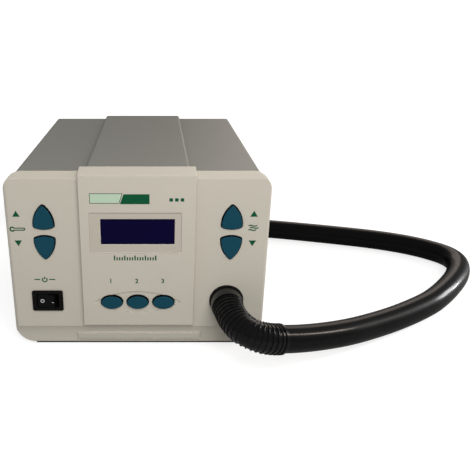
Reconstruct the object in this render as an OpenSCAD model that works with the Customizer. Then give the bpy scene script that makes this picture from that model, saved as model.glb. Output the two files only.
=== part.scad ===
// Hot air rework station: a case with a blower inside, an air hose and a handpiece.
// The case stands on the bench. The hose leaves its front, turns round the back of the case,
// and ends in the handpiece, which lies on the bench behind the case.

/* [Front bezel] */
// Width of the front bezel
bezel_w = 188; // [184:1:196]
// Height of the bezel's top edge above the bench
bezel_top = 136.7; // [134:0.1:142]
// Gap between the bench and the bezel's lower edge
bezel_gap = 2.2; // [2:0.1:4.5]
// Depth of the bezel from its face to its rear edge
bezel_depth = 10; // [10:0.5:14]
// Wall of the bezel and of the centre fascia
bezel_wall = 2.6; // [2.2:0.1:2.8]
// Radius of the bezel's two upper corners
top_corner_r = 12; // [8:1:14]
// Radius of the bezel's two lower corners
low_corner_r = 14; // [10:1:14]
// Rounding of the bezel's side edges
side_edge_r = 2.5; // [1.5:0.5:3]
// Height of the chin band that leans back under the face
chin_h = 15.2; // [12:0.1:16]
// How far the chin leans back at its lower edge
chin_lean = 2.5; // [1:0.5:3]
// Run of the brow that slopes up from the face to the top edge
brow_run = 9; // [6:0.5:11]
// Rise of the brow
brow_rise = 2.9; // [2:0.1:3.5]

/* [Centre fascia] */
// Width of the centre fascia
fascia_w = 82; // [80:1:86]
// How far the fascia stands out from the bezel's face
fascia_proud = 4; // [3.6:0.2:5]
// Height of the fascia's lower edge above the bench
fascia_low = 19.5; // [19:0.5:22]
// Thickness of the fascia where it wraps over the bezel's top
fascia_cap = 3.1; // [2.9:0.1:3.5]
// Width of the shallow recess round the display
display_frame_w = 65; // [60:1:68]
// Height of the shallow recess round the display
display_frame_h = 30.5; // [28:0.5:32]
// Distance from the display window's middle to the left, to the recess's middle
display_frame_left = 1.5; // [0:0.1:2]
// Distance from the display window's middle down to the recess's middle
display_frame_down = 1; // [0:0.1:2]
// Depth of the recesses in the fascia
recess_d = 0.5; // [0.5:0.1:1]
// Width of the display window
window_w = 52.5; // [48:0.5:56]
// Height of the display window
window_h = 19; // [17:0.5:21]
// Height of the display's centre above the bench
window_z = 95.6; // [92:0.2:98]

/* [Buttons] */
// Width of a shield-shaped button
shield_w = 14.7; // [14:0.1:16]
// Height of a shield-shaped button
shield_h = 17.4; // [16:0.1:18.4]
// Gap between the up button and the down button of a pair
shield_gap = 5.2; // [4.2:0.1:6]
// Distance of the button pairs from the bezel's sides
shield_inset = 27; // [25:0.5:29]
// Height of the middle of a button pair above the bench
shield_z = 93.8; // [90:0.2:97]
// Width of an oval channel button
oval_w = 15.6; // [14:0.2:17]
// Height of an oval channel button
oval_h = 10.5; // [9:0.1:12]
// Distance between the channel buttons
oval_pitch = 19.1; // [19:0.1:20]
// Height of the channel buttons above the bench
oval_z = 40; // [39:0.5:42]
// How far a button stands out of its panel
button_proud = 1.6; // [1.4:0.1:2.4]
// How far a button travels when it is pressed
button_travel = 1; // [0.5:0.1:1.2]
// Gap round a button in its opening
button_clear = 0.55; // [0.4:0.05:0.6]

/* [Power switch] */
// Width of the power switch's flange
switch_w = 23; // [22:0.5:24]
// Height of the power switch's flange
switch_h = 16.7; // [15:0.1:18]
// Distance of the power switch from the bezel's left side
switch_inset = 26.3; // [24:0.1:28]
// Height of the power switch above the bench
switch_z = 39.4; // [37:0.2:42]
// Angle that the rocker leans to each side
rocker_tilt = 10; // [8:1:11]

/* [Case] */
// Depth from the bezel's face to the cover's rear edge
case_depth = 215; // [212:1:225]
// How far the sheet-metal cover's sides stand in from the bezel's sides
cover_inset = 6; // [6:0.2:8]
// Thickness of the cover's sheet
cover_t = 1; // [0.8:0.1:1.2]
// Drop from the bezel's top edge to the cover's top
cover_drop = 1.5; // [1.4:0.1:2]
// Bend radius of the cover's upper edges
cover_bend_r = 3; // [2.5:0.5:5]
// Width of the raised band along the middle of the cover
band_w = 74.6; // [70:0.2:78]
// Rise of the raised band
band_rise = 3; // [2.8:0.1:3.2]
// Thickness of the tray's and rear panel's sheet
sheet_t = 1.2; // [1:0.1:1.5]
// Height of the rubber feet under the tray
foot_h = 6; // [5.5:0.1:6.5]
// Radius of a rubber foot
foot_r = 8; // [6:0.5:10]

/* [Hose outlet] */
// Distance of the hose outlet from the bezel's right side
outlet_inset = 28.3; // [27:0.1:29]
// Height of the hose outlet above the bench
outlet_z = 39; // [38:0.5:40]
// Outer radius of the air hose
hose_r = 10; // [9:0.25:10.5]
// Height of the boot's ridges over the hose
boot_rise = 1.2; // [1.2:0.1:2.4]
// Number of ridges on the boot
boot_ridges = 19; // [14:1:20]

/* [Blower] */
// Radius of the blower's spiral housing where it is smallest
volute_r = 42; // [38:1:44]
// Growth of the spiral at each quarter turn
volute_step = 2.7; // [2:0.1:3]
// Height of the blower housing
blower_h = 38; // [34:1:42]
// Wall of the blower housing
blower_wall = 2; // [1.6:0.1:2.4]
// Number of impeller blades
blade_count = 14; // [9:1:18]

/* [Handpiece] */
// Length of the handpiece's handle
handle_len = 112; // [100:1:120]
// Largest radius of the handle, at its front flange
handle_r = 20; // [18:0.5:21]
// Wall of the handle's shells
handle_wall = 2.2; // [1.8:0.1:2.6]
// Length of the steel barrel beyond the handle
barrel_len = 66; // [55:1:72]
// Outer radius of the steel barrel
barrel_r = 13; // [12:0.5:14]
// Length of the nozzle's cone and tip
nozzle_len = 20; // [16:1:26]
// Outlet radius of the nozzle
nozzle_tip_r = 5; // [3:0.5:7]

/* [Hidden] */
$fn = 48;
eps = 0.01;
fit = 0.25;

cream = "#c4bcae";
grey_paint = "#7a7974";
teal = "#1f5668";
black_rubber = "#1a1a1b";
dark_plastic = "#222222";
steel = "#b9bbbd";
board_green = "#2c6b3c";

// Heights and places that follow from the driving sizes
face_top = bezel_top - brow_rise;
chin_top = bezel_gap + chin_h;
cover_top = bezel_top - cover_drop;
cover_w = bezel_w - 2*cover_inset;
tray_top = foot_h + sheet_t;
shield_x = bezel_w/2 - shield_inset;
up_z = shield_z + (shield_h + shield_gap)/2;
down_z = shield_z - (shield_h + shield_gap)/2;
switch_x = -bezel_w/2 + switch_inset;
outlet_x = bezel_w/2 - outlet_inset;
flange_t = 3;
inner_back = bezel_depth - flange_t;
fascia_top = bezel_top + fascia_cap;
fascia_plate = bezel_wall - 0.4;
plate_back = -fascia_proud + fascia_plate;
boot_r = hose_r + boot_rise;
collar_r = boot_r + 1.2;

// The control board stands behind the face; key switches stand on it
board_y = 12.6;
board_t = 1.6;
key_body_h = 3.5;
key_tip_h = 0.7;
key_front = board_y - key_body_h - key_tip_h;
key_gap = 0.3;
button_gap = 0.15;
stem_end = key_front - button_travel - key_gap;
stem_r = 2;
button_flange = 1.2;
button_flange_t = 1.4;

// Blower, with its outlet in line with the hose outlet
volute_w = volute_r + 3*volute_step;
pipe_r = 11;
blower_x = outlet_x - volute_w + pipe_r;
blower_y = case_depth - sheet_t - volute_r - volute_step - 10;
blower_z = outlet_z - blower_h/2;
blower_top = blower_z + blower_h;
impeller_r = volute_r - 6;
pipe_end = blower_y - volute_r - 6;
shaft_r = 2.5;
bearing_r = 6.5;
bearing_t = 4;
can_r = 20;
can_h = 26;
run_clear = 0.05;

// Handpiece, lying behind the case: the place of its tail, from which it points along +X
hand_x = -48;
hand_y = 402;
hand_z = handle_r;
collar_len = 16;
sleeve_len = 12;
hand_len = handle_len + barrel_len + nozzle_len;
inlet_out = 8;

// The row's origin is the middle of the floor that the case and the handpiece cover
middle_x = (hand_x + hand_len - bezel_w/2)/2;
middle_y = (hand_y + handle_r - fascia_proud - button_proud)/2;

module place() {
  translate([-middle_x, -middle_y, 0]) children();
}

// Lays what is drawn with its tail at the origin and its axis along -Y in the handpiece's place
module hand_place() {
  place() translate([hand_x, hand_y, 0]) rotate([0, 0, 90]) children();
}

// Extrusions of a flat outline along each axis of the case
module along_y(y0, y1) {
  translate([0, y1, 0]) rotate([90, 0, 0]) linear_extrude(y1 - y0) children();
}

module along_x(x0, x1) {
  translate([x0, 0, 0]) rotate([90, 0, 90]) linear_extrude(x1 - x0) children();
}

module rod_y(x, z, r, y0, y1) {
  translate([x, y0, z]) rotate([-90, 0, 0]) cylinder(r=r, h=y1 - y0);
}

module box(x0, x1, y0, y1, z0, z1) {
  translate([x0, y0, z0]) cube([x1 - x0, y1 - y0, z1 - z0]);
}

// A rectangle with round corners, centred on the origin
module round_rect(w, h, r) {
  square([w - 2*r, h], center=true);
  square([w, h - 2*r], center=true);
  for (sx = [-1, 1], sz = [-1, 1])
    translate([sx*(w/2 - r), sz*(h/2 - r)]) circle(r);
}

// A slot with round ends, centred on the origin, its length along x
module slot(length, width) {
  square([length - width, width], center=true);
  for (s = [-1, 1]) translate([s*(length - width)/2, 0]) circle(width/2, $fn=24);
}

// Points of an arc about c, from angle a0 to a1
function arc(c, r, a0, a1, n) =
  [for (i = [0:n]) let (a = a0 + (a1 - a0)*i/n) c + r*[cos(a), sin(a)]];

function angle_of(v) = atan2(v[1], v[0]);

// Where two circles meet, on the left of the line from c1 to c2 when side is 1
function circles_meet(c1, r1, c2, r2, side) =
  let (d = norm(c2 - c1), u = (c2 - c1)/d, a = (d*d + r1*r1 - r2*r2)/(2*d),
       h = sqrt(r1*r1 - a*a))
  c1 + a*u + side*h*[-u[1], u[0]];

// The shield outline of a button: three bowed sides and three small round corners.
// It points up, and grow enlarges it all round.
function shield(w, h, grow=0) =
  let (
    corner = 1.3,
    belly = -h/2 + h*0.18,
    side_r = (w*w/4 + (h/2 + 0.9 - belly)*(h/2 + 0.9 - belly))/w,
    base_r = h*0.9,
    left = [w/2 - side_r, belly],
    right = [-w/2 + side_r, belly],
    base = [0, -h/2 + base_r],
    tip = circles_meet(right, side_r - corner, left, side_r - corner, -1),
    low_r = circles_meet(left, side_r - corner, base, base_r - corner, -1),
    low_l = [-low_r[0], low_r[1]],
    a_tip = angle_of(tip - left),
    a_side = angle_of(low_r - left),
    a_base = angle_of(low_r - base)
  )
  concat(
    arc(left, side_r + grow, a_side, a_tip, 8),
    arc(tip, corner + grow, a_tip + 8, 172 - a_tip, 4),
    arc(right, side_r + grow, 180 - a_tip, 180 - a_side, 8),
    arc(low_l, corner + grow, 190 - a_side, 170 - a_base, 4),
    arc(base, base_r + grow, -180 - a_base, a_base, 6),
    arc(low_r, corner + grow, a_base + 10, a_side - 10, 4)
  );

function oval(w, h, grow=0) =
  [for (i = [0:39]) [(w/2 + grow)*cos(9*i), (h/2 + grow)*sin(9*i)]];

// Outlines of the bezel and of the cover, seen from the front
module bezel_outline(inset) {
  w = bezel_w - 2*inset;
  z0 = bezel_gap + inset;
  z1 = bezel_top - inset;
  rt = top_corner_r - inset;
  rb = low_corner_r - inset;
  translate([-w/2, z0 + rb]) square([w, z1 - rt - z0 - rb]);
  translate([-w/2 + rb, z0]) square([w - 2*rb, rb + eps]);
  translate([-w/2 + rt, z1 - rt - eps]) square([w - 2*rt, rt + eps]);
  for (s = [-1, 1]) {
    translate([s*(w/2 - rb), z0 + rb]) circle(rb);
    translate([s*(w/2 - rt), z1 - rt]) circle(rt);
  }
}

module bezel_form(inset, y_end) {
  y0 = inset;
  z0 = bezel_gap + inset;
  z1 = bezel_top - inset;
  half = bezel_w/2 - inset;
  r = max(side_edge_r - inset, 0.5);
  intersection() {
    along_y(y0, y_end) bezel_outline(inset);
    along_x(-half, half)
      polygon([[chin_lean + y0, z0], [y0, chin_top], [y0, face_top - inset/2],
               [brow_run + inset/2, z1], [y_end, z1], [y_end, z0]]);
    translate([0, 0, z0]) linear_extrude(z1 - z0) {
      translate([-half, y0 + r]) square([2*half, y_end - y0 - r]);
      translate([-half + r, y0]) square([2*half - 2*r, r + eps]);
      for (s = [-1, 1]) translate([s*(half - r), y0 + r]) circle(r);
    }
  }
}

module cover_outline(grow, z0) {
  half = cover_w/2 + grow;
  z1 = cover_top + grow;
  r = cover_bend_r + grow;
  band_half = band_w/2 + grow;
  band_r = 2 + grow;
  translate([-half, z0]) square([2*half, z1 - r - z0]);
  translate([-half + r, z1 - r - eps]) square([2*half - 2*r, r + eps]);
  for (s = [-1, 1]) translate([s*(half - r), z1 - r]) circle(r);
  translate([-band_half, z1 - 5]) square([2*band_half, band_rise - band_r + 5]);
  translate([-band_half + band_r, z1 - 5]) square([2*(band_half - band_r), band_rise + 5]);
  for (s = [-1, 1]) translate([s*(band_half - band_r), z1 + band_rise - band_r]) circle(band_r);
}

// Places of the buttons: [x, z, 1 for up or -1 for down]
shields = [[-shield_x, up_z, 1], [-shield_x, down_z, -1], [shield_x, up_z, 1], [shield_x, down_z, -1]];
ovals = [for (i = [-1, 0, 1]) [i*oval_pitch - 0.5, oval_z]];
bosses = [for (sx = [-1, 1], z = [chin_top + 48, face_top - 14]) [sx*(bezel_w/2 - 14), z]];

module shield_at(s, grow, y0, y1) {
  translate([s[0], 0, s[1]]) along_y(y0, y1)
    scale([1, s[2]]) polygon(shield(shield_w, shield_h, grow));
}

module oval_at(o, grow, y0, y1) {
  translate([o[0], 0, o[1]]) along_y(y0, y1) polygon(oval(oval_w, oval_h, grow));
}

// The moulded front: a shell open at the back, with openings for all that shows
module front_bezel() {
  window_half = fascia_w/2 - 5;
  color(cream) place() difference() {
    union() {
      difference() {
        bezel_form(0, bezel_depth);
        bezel_form(bezel_wall, inner_back);
      }
      for (b = bosses) rod_y(b[0], b[1], 3.5, bezel_wall - eps, board_y);
      chin_pad();
    }
    along_y(inner_back - 1, bezel_depth + 1) cover_outline(fit, foot_h - fit);
    box(-window_half, window_half, -1, bezel_wall + 1, fascia_low + 8, window_z + window_h/2 + 8);
    for (s = shields) shield_at(s, button_clear, -1, bezel_wall + 1);
    box(switch_x - switch_w/2 + 1.8, switch_x + switch_w/2 - 1.8, -1, bezel_wall + 1,
        switch_z - switch_h/2 + 1.8, switch_z + switch_h/2 - 1.8);
    rod_y(outlet_x, outlet_z, collar_r + fit, -1, bezel_wall + 1);
    for (b = bosses) rod_y(b[0], b[1], 1.1, board_y - 8, board_y + 1);
  }
}

// The low pad on the chin, under the fascia
module chin_pad() {
  pad_half = 47;
  intersection() {
    translate([0, -0.6, 0]) bezel_form(0, bezel_depth/2);
    box(-pad_half, pad_half, -2, bezel_wall - 1, bezel_gap + 3, chin_top - 6.4);
  }
}

// The raised centre of the front, which wraps over the bezel's top edge
module centre_fascia() {
  half = fascia_w/2;
  color(cream) place() difference() {
    along_x(-half, half)
      polygon([[-fascia_proud, fascia_low + 1], [-fascia_proud, face_top + brow_rise + 0.3],
               [brow_run - 1, fascia_top], [bezel_depth, fascia_top], [bezel_depth, bezel_top - 8],
               [0.5, bezel_top - 8], [0.5, fascia_low], [-fascia_proud + 1, fascia_low]]);
    bezel_form(0, bezel_depth + 1);
    along_y(inner_back - 1, bezel_depth + 1) cover_outline(fit, foot_h - fit);
    box(-half + fascia_plate, half - fascia_plate, plate_back, 1, fascia_low + fascia_plate,
        face_top - 2);
    translate([0, 0, window_z]) {
      translate([-display_frame_left, 0, -display_frame_down])
        along_y(-fascia_proud - 1, -fascia_proud + recess_d)
          round_rect(display_frame_w, display_frame_h, 1);
      along_y(-fascia_proud - 1, 1) square([window_w, window_h], center=true);
    }
    for (o = ovals) oval_at(o, button_clear, -fascia_proud - 1, 1);
    eye_recess();
  }
}

// Shallow eye-shaped recess round the channel buttons
module eye_recess() {
  eye_w = 64;
  eye_h = 17;
  eye_r = (eye_w*eye_w/4 + eye_h*eye_h/4)/eye_h;
  translate([-0.5, 0, oval_z]) along_y(-fascia_proud - 1, -fascia_proud + 0.5)
    intersection() {
      translate([0, eye_r - eye_h/2]) circle(eye_r, $fn=96);
      translate([0, -eye_r + eye_h/2]) circle(eye_r, $fn=96);
    }
}

module display_window() {
  lip = 1.5;
  color("#15163a", 0.9) place() translate([0, 0, window_z]) {
    along_y(-fascia_proud + recess_d, plate_back)
      square([window_w - 0.3, window_h - 0.3], center=true);
    along_y(plate_back, plate_back + 1)
      square([window_w + 2*lip, window_h + 2*lip], center=true);
  }
}

// Liquid crystal module: a frame with a glass, and pin rows down to the control board
module display_module() {
  half = window_w/2 + 4;
  tall = window_h/2 + 4;
  color("#3b4046") place() translate([0, 0, window_z]) {
    box(-half, half, plate_back + 1.3, 8, -tall, tall);
    for (i = [-7:7], s = [-1, 1]) box(i*2.54 - 0.3, i*2.54 + 0.3, 7.9, board_y, s*(tall - 2) - 0.3, s*(tall - 2) + 0.3);
  }
}

keys = concat([for (s = shields) [s[0], s[1]]], ovals);
board_half = bezel_w/2 - 10;
board_low = chin_top + 43;
board_high = face_top - 8;
tongue_half = 45;
tongue_low = 30;

module control_board() {
  color(board_green) place() difference() {
    union() {
      box(-board_half, board_half, board_y, board_y + board_t, board_low, board_high);
      box(-tongue_half, tongue_half, board_y, board_y + board_t, tongue_low, board_low + eps);
      // Chips and a socket on the rear face
      box(-12, 12, board_y + board_t - eps, board_y + board_t + 3, 72, 82);
      box(24, 34, board_y + board_t - eps, board_y + board_t + 2, 90, 100);
      box(-40, -16, board_y + board_t - eps, board_y + board_t + 7, 36, 43);
    }
    for (b = bosses) rod_y(b[0], b[1], 1.3, board_y - 1, board_y + board_t + 1);
  }
}

module key_switches() {
  color("#2b2b2e") place() for (k = keys) {
    box(k[0] - 3, k[0] + 3, board_y - key_body_h, board_y, k[1] - 3, k[1] + 3);
    rod_y(k[0], k[1], 1.7, key_front, board_y - key_body_h + eps);
  }
}

module board_screws() {
  color(steel) place() for (b = bosses) {
    rod_y(b[0], b[1], 1.08, board_y - 7, board_y + board_t + eps);
    difference() {
      rod_y(b[0], b[1], 2.6, board_y + board_t, board_y + board_t + 1.8);
      translate([b[0], 0, b[1]]) along_y(board_y + board_t + 0.9, board_y + board_t + 2) {
        square([3.4, 0.8], center=true);
        square([0.8, 3.4], center=true);
      }
    }
  }
}

// A push button: cap in the panel opening, flange behind the panel, stem to its key switch.
// back is the rear of the panel that the cap passes through.
module button_stem(x, z, back) {
  rod_y(x, z, stem_r, back + button_flange_t, stem_end);
}

module shield_button(s) {
  color(teal) place() {
    shield_at(s, 0, -button_proud, bezel_wall + button_gap + eps);
    shield_at(s, button_flange, bezel_wall + button_gap, bezel_wall + button_gap + button_flange_t);
    button_stem(s[0], s[1], bezel_wall + button_gap - eps);
  }
}

module oval_button(o) {
  color(teal) place() {
    oval_at(o, 0, -fascia_proud - button_proud, plate_back + button_gap + eps);
    oval_at(o, button_flange - 0.3, plate_back + button_gap, plate_back + button_gap + button_flange_t);
    button_stem(o[0], o[1], plate_back + button_gap - eps);
  }
}

module temp_up_button() { shield_button(shields[0]); }
module temp_down_button() { shield_button(shields[1]); }
module air_up_button() { shield_button(shields[2]); }
module air_down_button() { shield_button(shields[3]); }
module channel_1_button() { oval_button(ovals[0]); }
module channel_2_button() { oval_button(ovals[1]); }
module channel_3_button() { oval_button(ovals[2]); }

// Power switch: a snap-in housing whose flange rests on the bezel, with an open well
// in which the rocker leans about an upright pin
well_w = switch_w - 7;
well_h = switch_h - 5.4;
switch_body = 16;
rocker_y = 4.5;
rocker_half = well_w/2 - 0.8;
pin_r = 1.2;

module switch_housing() {
  color(dark_plastic) place() translate([switch_x, 0, switch_z]) difference() {
    union() {
      along_y(-1.5, 0) round_rect(switch_w, switch_h, 1.5);
      box(-switch_w/2 + 2, switch_w/2 - 2, -eps, switch_body, -switch_h/2 + 2, switch_h/2 - 2);
    }
    box(-well_w/2, well_w/2, -2, 11, -well_h/2, well_h/2);
    translate([0, rocker_y, -well_h/2 - 1.4]) cylinder(r=pin_r + run_clear, h=well_h + 2.8);
  }
}

module switch_rocker() {
  rocker_h = well_h - 0.6;
  color("#191919") place() translate([switch_x, rocker_y, switch_z])
    rotate([0, 0, -rocker_tilt]) {
      translate([0, 0, -rocker_h/2]) linear_extrude(rocker_h)
        polygon([[-rocker_half, 1.5], [-rocker_half + 0.7, -7], [0, -6],
                 [rocker_half - 0.7, -7], [rocker_half, 1.5], [2, 4.2], [-2, 4.2]]);
      translate([0, 0, -well_h/2 - 1.2]) cylinder(r=pin_r, h=well_h + 2.4);
    }
}

module switch_tabs() {
  color(steel) place() translate([switch_x, 0, switch_z])
    for (x = [-5, 5]) difference() {
      box(x - 0.4, x + 0.4, switch_body, switch_body + 8, -3.1, 3.1);
      translate([x - 1, switch_body + 4.5, 0]) rotate([0, 90, 0]) cylinder(r=0.8, h=2, $fn=16);
    }
}

// Sheet-metal tray with a lip up each side and at the front, and air slots under the blower
tray_half = cover_w/2 - cover_t - 0.3;
tray_front = inner_back + 0.4;
panel_y = case_depth - sheet_t;
lip_h = 14;
feet = [for (sx = [-1, 1], y = [48, case_depth - 25]) [sx*(tray_half - 16), y]];
side_screws = [for (s = [-1, 1], y = [60, case_depth - 35]) [s, y]];

// Power board, beside the inlet, and the pillars that it stands on
power_x0 = -cover_w/2 + 4.4;
power_x1 = power_x0 + 59;
power_y0 = case_depth - 103;
power_y1 = case_depth - 35;
pillar_in = [4, 5];
pillars = [for (x = [power_x0 + pillar_in[0], power_x1 - pillar_in[0]],
                y = [power_y0 + pillar_in[1], power_y1 - pillar_in[1]]) [x, y]];
rubber_mounts = [for (a = [45, 135, 225, 315]) [blower_x + 34*cos(a), blower_y + 34*sin(a)]];
screw_z = foot_h + 8;

module base_tray() {
  color(grey_paint) place() difference() {
    union() {
      box(-tray_half, tray_half, tray_front, panel_y, foot_h, tray_top);
      for (s = [-1, 1]) {
        x0 = s > 0 ? tray_half - sheet_t : -tray_half;
        box(x0, x0 + sheet_t, tray_front, panel_y, foot_h, foot_h + lip_h);
      }
      box(-tray_half, tray_half, tray_front, tray_front + sheet_t, foot_h, foot_h + lip_h);
    }
    for (f = feet) translate([f[0], f[1], 0]) cylinder(r=2.1, h=20);
    for (s = side_screws) translate([s[0]*(tray_half - 3), s[1], screw_z]) rotate([0, s[0]*90, 0])
      cylinder(r=1.25, h=10);
    for (i = [-3:3]) translate([blower_x + 7*i, blower_y, 0]) linear_extrude(20)
      rotate(90) slot(2*sqrt(27*27 - 49*i*i), 3.4);
  }
}

module rubber_feet() {
  color(black_rubber) place() for (f = feet) translate([f[0], f[1], 0]) difference() {
    union() {
      cylinder(r1=foot_r - 0.8, r2=foot_r, h=1.2);
      translate([0, 0, 1.2 - eps]) cylinder(r=foot_r, h=foot_h - 1.2 + eps);
    }
    translate([0, 0, -1]) cylinder(r=3.8, h=3.6);
    cylinder(r=2.1, h=foot_h + 1);
  }
}

module foot_screws() {
  color(steel) place() for (f = feet) translate([f[0], f[1], 0]) {
    translate([0, 0, 0.9]) cylinder(r=3.4, h=1.7);
    cylinder(r=2, h=tray_top + 3.4);
    translate([0, 0, tray_top]) cylinder(r=3.6, h=2.4, $fn=6);
  }
}

// Rear panel: a plate with fixing flanges, the inlet's opening and air slots
inlet_x = -50;
inlet_z = 58;
inlet_w = 27;
inlet_h = 40;
ear_x = 20;
jack_x = -18;
jack_z = 52;
jack_r = 2;
panel_low = tray_top + 0.2;
panel_high = cover_top - cover_t - 0.3;
panel_half = tray_half - sheet_t - 0.2;
corner_screws = [for (s = [-1, 1], z = [34, panel_high - 14]) [s, z]];
vents = [for (i = [0:9], z = [84, 104]) [12 + 7*i, z]];

module rear_panel() {
  flange_x = panel_half + sheet_t;
  color(grey_paint) place() difference() {
    union() {
      box(-flange_x, flange_x, panel_y, case_depth, foot_h, panel_high);
      for (s = [-1, 1]) {
        x0 = s > 0 ? panel_half : -flange_x;
        box(x0, x0 + sheet_t, panel_y - 12, panel_y + eps, foot_h + lip_h + 1, panel_high);
      }
    }
    box(inlet_x - inlet_w/2 - 0.2, inlet_x + inlet_w/2 + 0.2, panel_y - 1, case_depth + 1,
        inlet_z - inlet_h/2 - 0.2, inlet_z + inlet_h/2 + 0.2);
    rod_y(jack_x, jack_z, 4.1, panel_y - 1, case_depth + 1);
    for (v = vents) translate([v[0], 0, v[1]]) along_y(panel_y - 1, case_depth + 1)
      rotate(90) slot(16, 3);
    for (c = corner_screws) translate([c[0]*(panel_half - 2), panel_y - 6, c[1]]) rotate([0, c[0]*90, 0])
      cylinder(r=1.25, h=10);
    for (s = [-1, 1]) rod_y(inlet_x + s*ear_x, inlet_z, 1.6, panel_y - 1, case_depth + 1);
  }
}

// Sheet-metal cover, folded down both sides, with a raised band along its middle
module top_cover() {
  color(grey_paint) place() difference() {
    along_y(tray_front + 0.2, case_depth) difference() {
      cover_outline(0, foot_h);
      cover_outline(-cover_t, foot_h - 1);
    }
    for (s = side_screws) translate([s[0]*(cover_w/2 - 3), s[1], screw_z]) rotate([0, s[0]*90, 0])
      cylinder(r=1.7, h=10);
    for (c = corner_screws) translate([c[0]*(cover_w/2 - 3), panel_y - 6, c[1]]) rotate([0, c[0]*90, 0])
      cylinder(r=1.7, h=10);
    for (i = [0:11], z = [62, 88]) translate([-cover_w/2 - 1, 112 + 7*i, z]) rotate([90, 0, 90])
      linear_extrude(cover_w + 2) rotate(90) slot(20, 3);
  }
}

// Pan-head screws through the cover's sides
module side_screw(s, y, z, inner) {
  translate([s*inner, y, z]) rotate([0, s*90, 0]) cylinder(r=1.22, h=cover_w/2 - inner + eps);
  translate([s*cover_w/2, y, z]) rotate([0, s*90, 0]) difference() {
    union() {
      cylinder(r=3, h=1);
      translate([0, 0, 1 - eps]) cylinder(r1=3, r2=2, h=0.8);
    }
    translate([0, 0, 1]) linear_extrude(1) {
      square([3.6, 0.8], center=true);
      square([0.8, 3.6], center=true);
    }
  }
}

module cover_screws() {
  color(steel) place() for (s = side_screws) side_screw(s[0], s[1], screw_z, tray_half - 4);
}

module rear_screws() {
  color(steel) place() for (c = corner_screws) side_screw(c[0], panel_y - 6, c[1], panel_half - 3);
}

// Moulded collar in the bezel: socket for the hose at the front, spigot for the duct behind
spigot_r = 11;
spigot_bore = 9;
hose_start = 8;
collar_proud = 1.5;

module outlet_collar() {
  color("#2a2a2b") place() difference() {
    union() {
      rod_y(outlet_x, outlet_z, collar_r, -collar_proud, bezel_wall + eps);
      rod_y(outlet_x, outlet_z, collar_r + 3, bezel_wall, bezel_wall + 2.4);
      rod_y(outlet_x, outlet_z, spigot_r, bezel_wall + 2, 22);
    }
    rod_y(outlet_x, outlet_z, hose_r, -collar_proud - 1, hose_start);
    rod_y(outlet_x, outlet_z, spigot_bore, hose_start - eps, 23);
  }
}

// Route of the hose: out of the collar, round to the right, behind the case, and round
// to the handpiece's tail. A point lower than the hose's radius is lifted to it.
route = [
  [outlet_x, hose_start, outlet_z], [outlet_x, -1.5, outlet_z], [outlet_x, -11, outlet_z],
  [67.7, -21.5, 37], [72, -30.5, 34.8], [78, -36, 32.8], [85.5, -38, 30.6], [93, -37, 28.6],
  [100, -34, 26.6], [116, -27, 22.8], [136, -17.5, 19], [158, -6, 15.6], [181, 8, 12.6],
  [206, 23.5, 10.8], [232, 41, 10], [250, 55, 10], [270, 75, 10], [290, 99, 10], [302, 119, 10],
  [307, 136, 10], [304, 151, 10], [294, 164, 10], [281, 175, 10], [266, 184, 10],
  [245, 193.5, 10], [220, 202, 10], [190, 211, 10], [150, 222, 10], [110, 231, 10],
  [60, 238, 10], [0, 242, 10], [-92, 248, 10], [-130, 262, 10], [-157, 292, 10],
  [-165, 328, 11.5], [-156, 364, 14.5], [-130, 391, 17.5], [hand_x - 42, hand_y, hand_z],
  [hand_x - 25, hand_y, hand_z], [hand_x + 8, hand_y, hand_z]
];
last = len(route) - 1;

function route_point(i) = let (p = route[max(0, min(last, i))]) [p[0], p[1], max(p[2], hose_r)];

// Smooth curve through the route, at u between two whole numbers
function curve(u) =
  let (i = min(last - 1, floor(u)), t = u - i, p0 = route_point(i - 1), p1 = route_point(i),
       p2 = route_point(i + 1), p3 = route_point(i + 2),
       c = p1 + t*(p2 - p0)/2 + t*t*(p0 - 2.5*p1 + 2*p2 - p3/2)
           + t*t*t*(-p0/2 + 1.5*p1 - 1.5*p2 + p3/2))
  [c[0], c[1], max(c[2], hose_r)];

function unit(v) = v/norm(v);

// The hose leaves the collar straight, and bends only beyond the route's second point
function heading(u) = u <= 1 ? [0, -1, 0]
  : unit(curve(min(last, u + 0.05)) - curve(max(0, u - 0.05)));

// A ring of points round the point c, square to the direction d
function ring(c, d, r, sides) =
  let (side = unit(cross(d, [0, 0, 1])), top = cross(side, d))
  [for (k = [0:sides - 1]) c + r*(cos(360*k/sides)*side + sin(360*k/sides)*top)];

// Faces between n rings; closed joins the last ring to the first instead of capping the ends
function skin(n, sides, closed) = concat(
  [for (i = [0:n - (closed ? 1 : 2)], k = [0:sides - 1])
    let (j = (i + 1)%n, m = (k + 1)%sides)
    each [[i*sides + k, i*sides + m, j*sides + m], [i*sides + k, j*sides + m, j*sides + k]]],
  closed ? [] : [[for (k = [sides - 1:-1:0]) k], [for (k = [0:sides - 1]) (n - 1)*sides + k]]
);

module tube(points, headings, radii, sides, closed=false) {
  n = len(points);
  polyhedron(points=[for (i = [0:n - 1]) each ring(points[i], headings[i], radii[i], sides)],
             faces=skin(n, sides, closed), convexity=6);
}

hose_sides = 12;
boot_last = 8;

module air_hose() {
  u = [for (i = [0:2*last]) i/2];
  color(black_rubber) place()
    tube([for (a = u) curve(a)], [for (a = u) heading(a)], [for (a = u) hose_r], hose_sides);
}

// Corrugated boot on the hose, swept round the same bend: a smooth neck, then ridges
boot_neck = 2;
boot_bore = hose_r + 0.2;
valley_r = boot_bore + (boot_rise - 0.2)/2;

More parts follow.
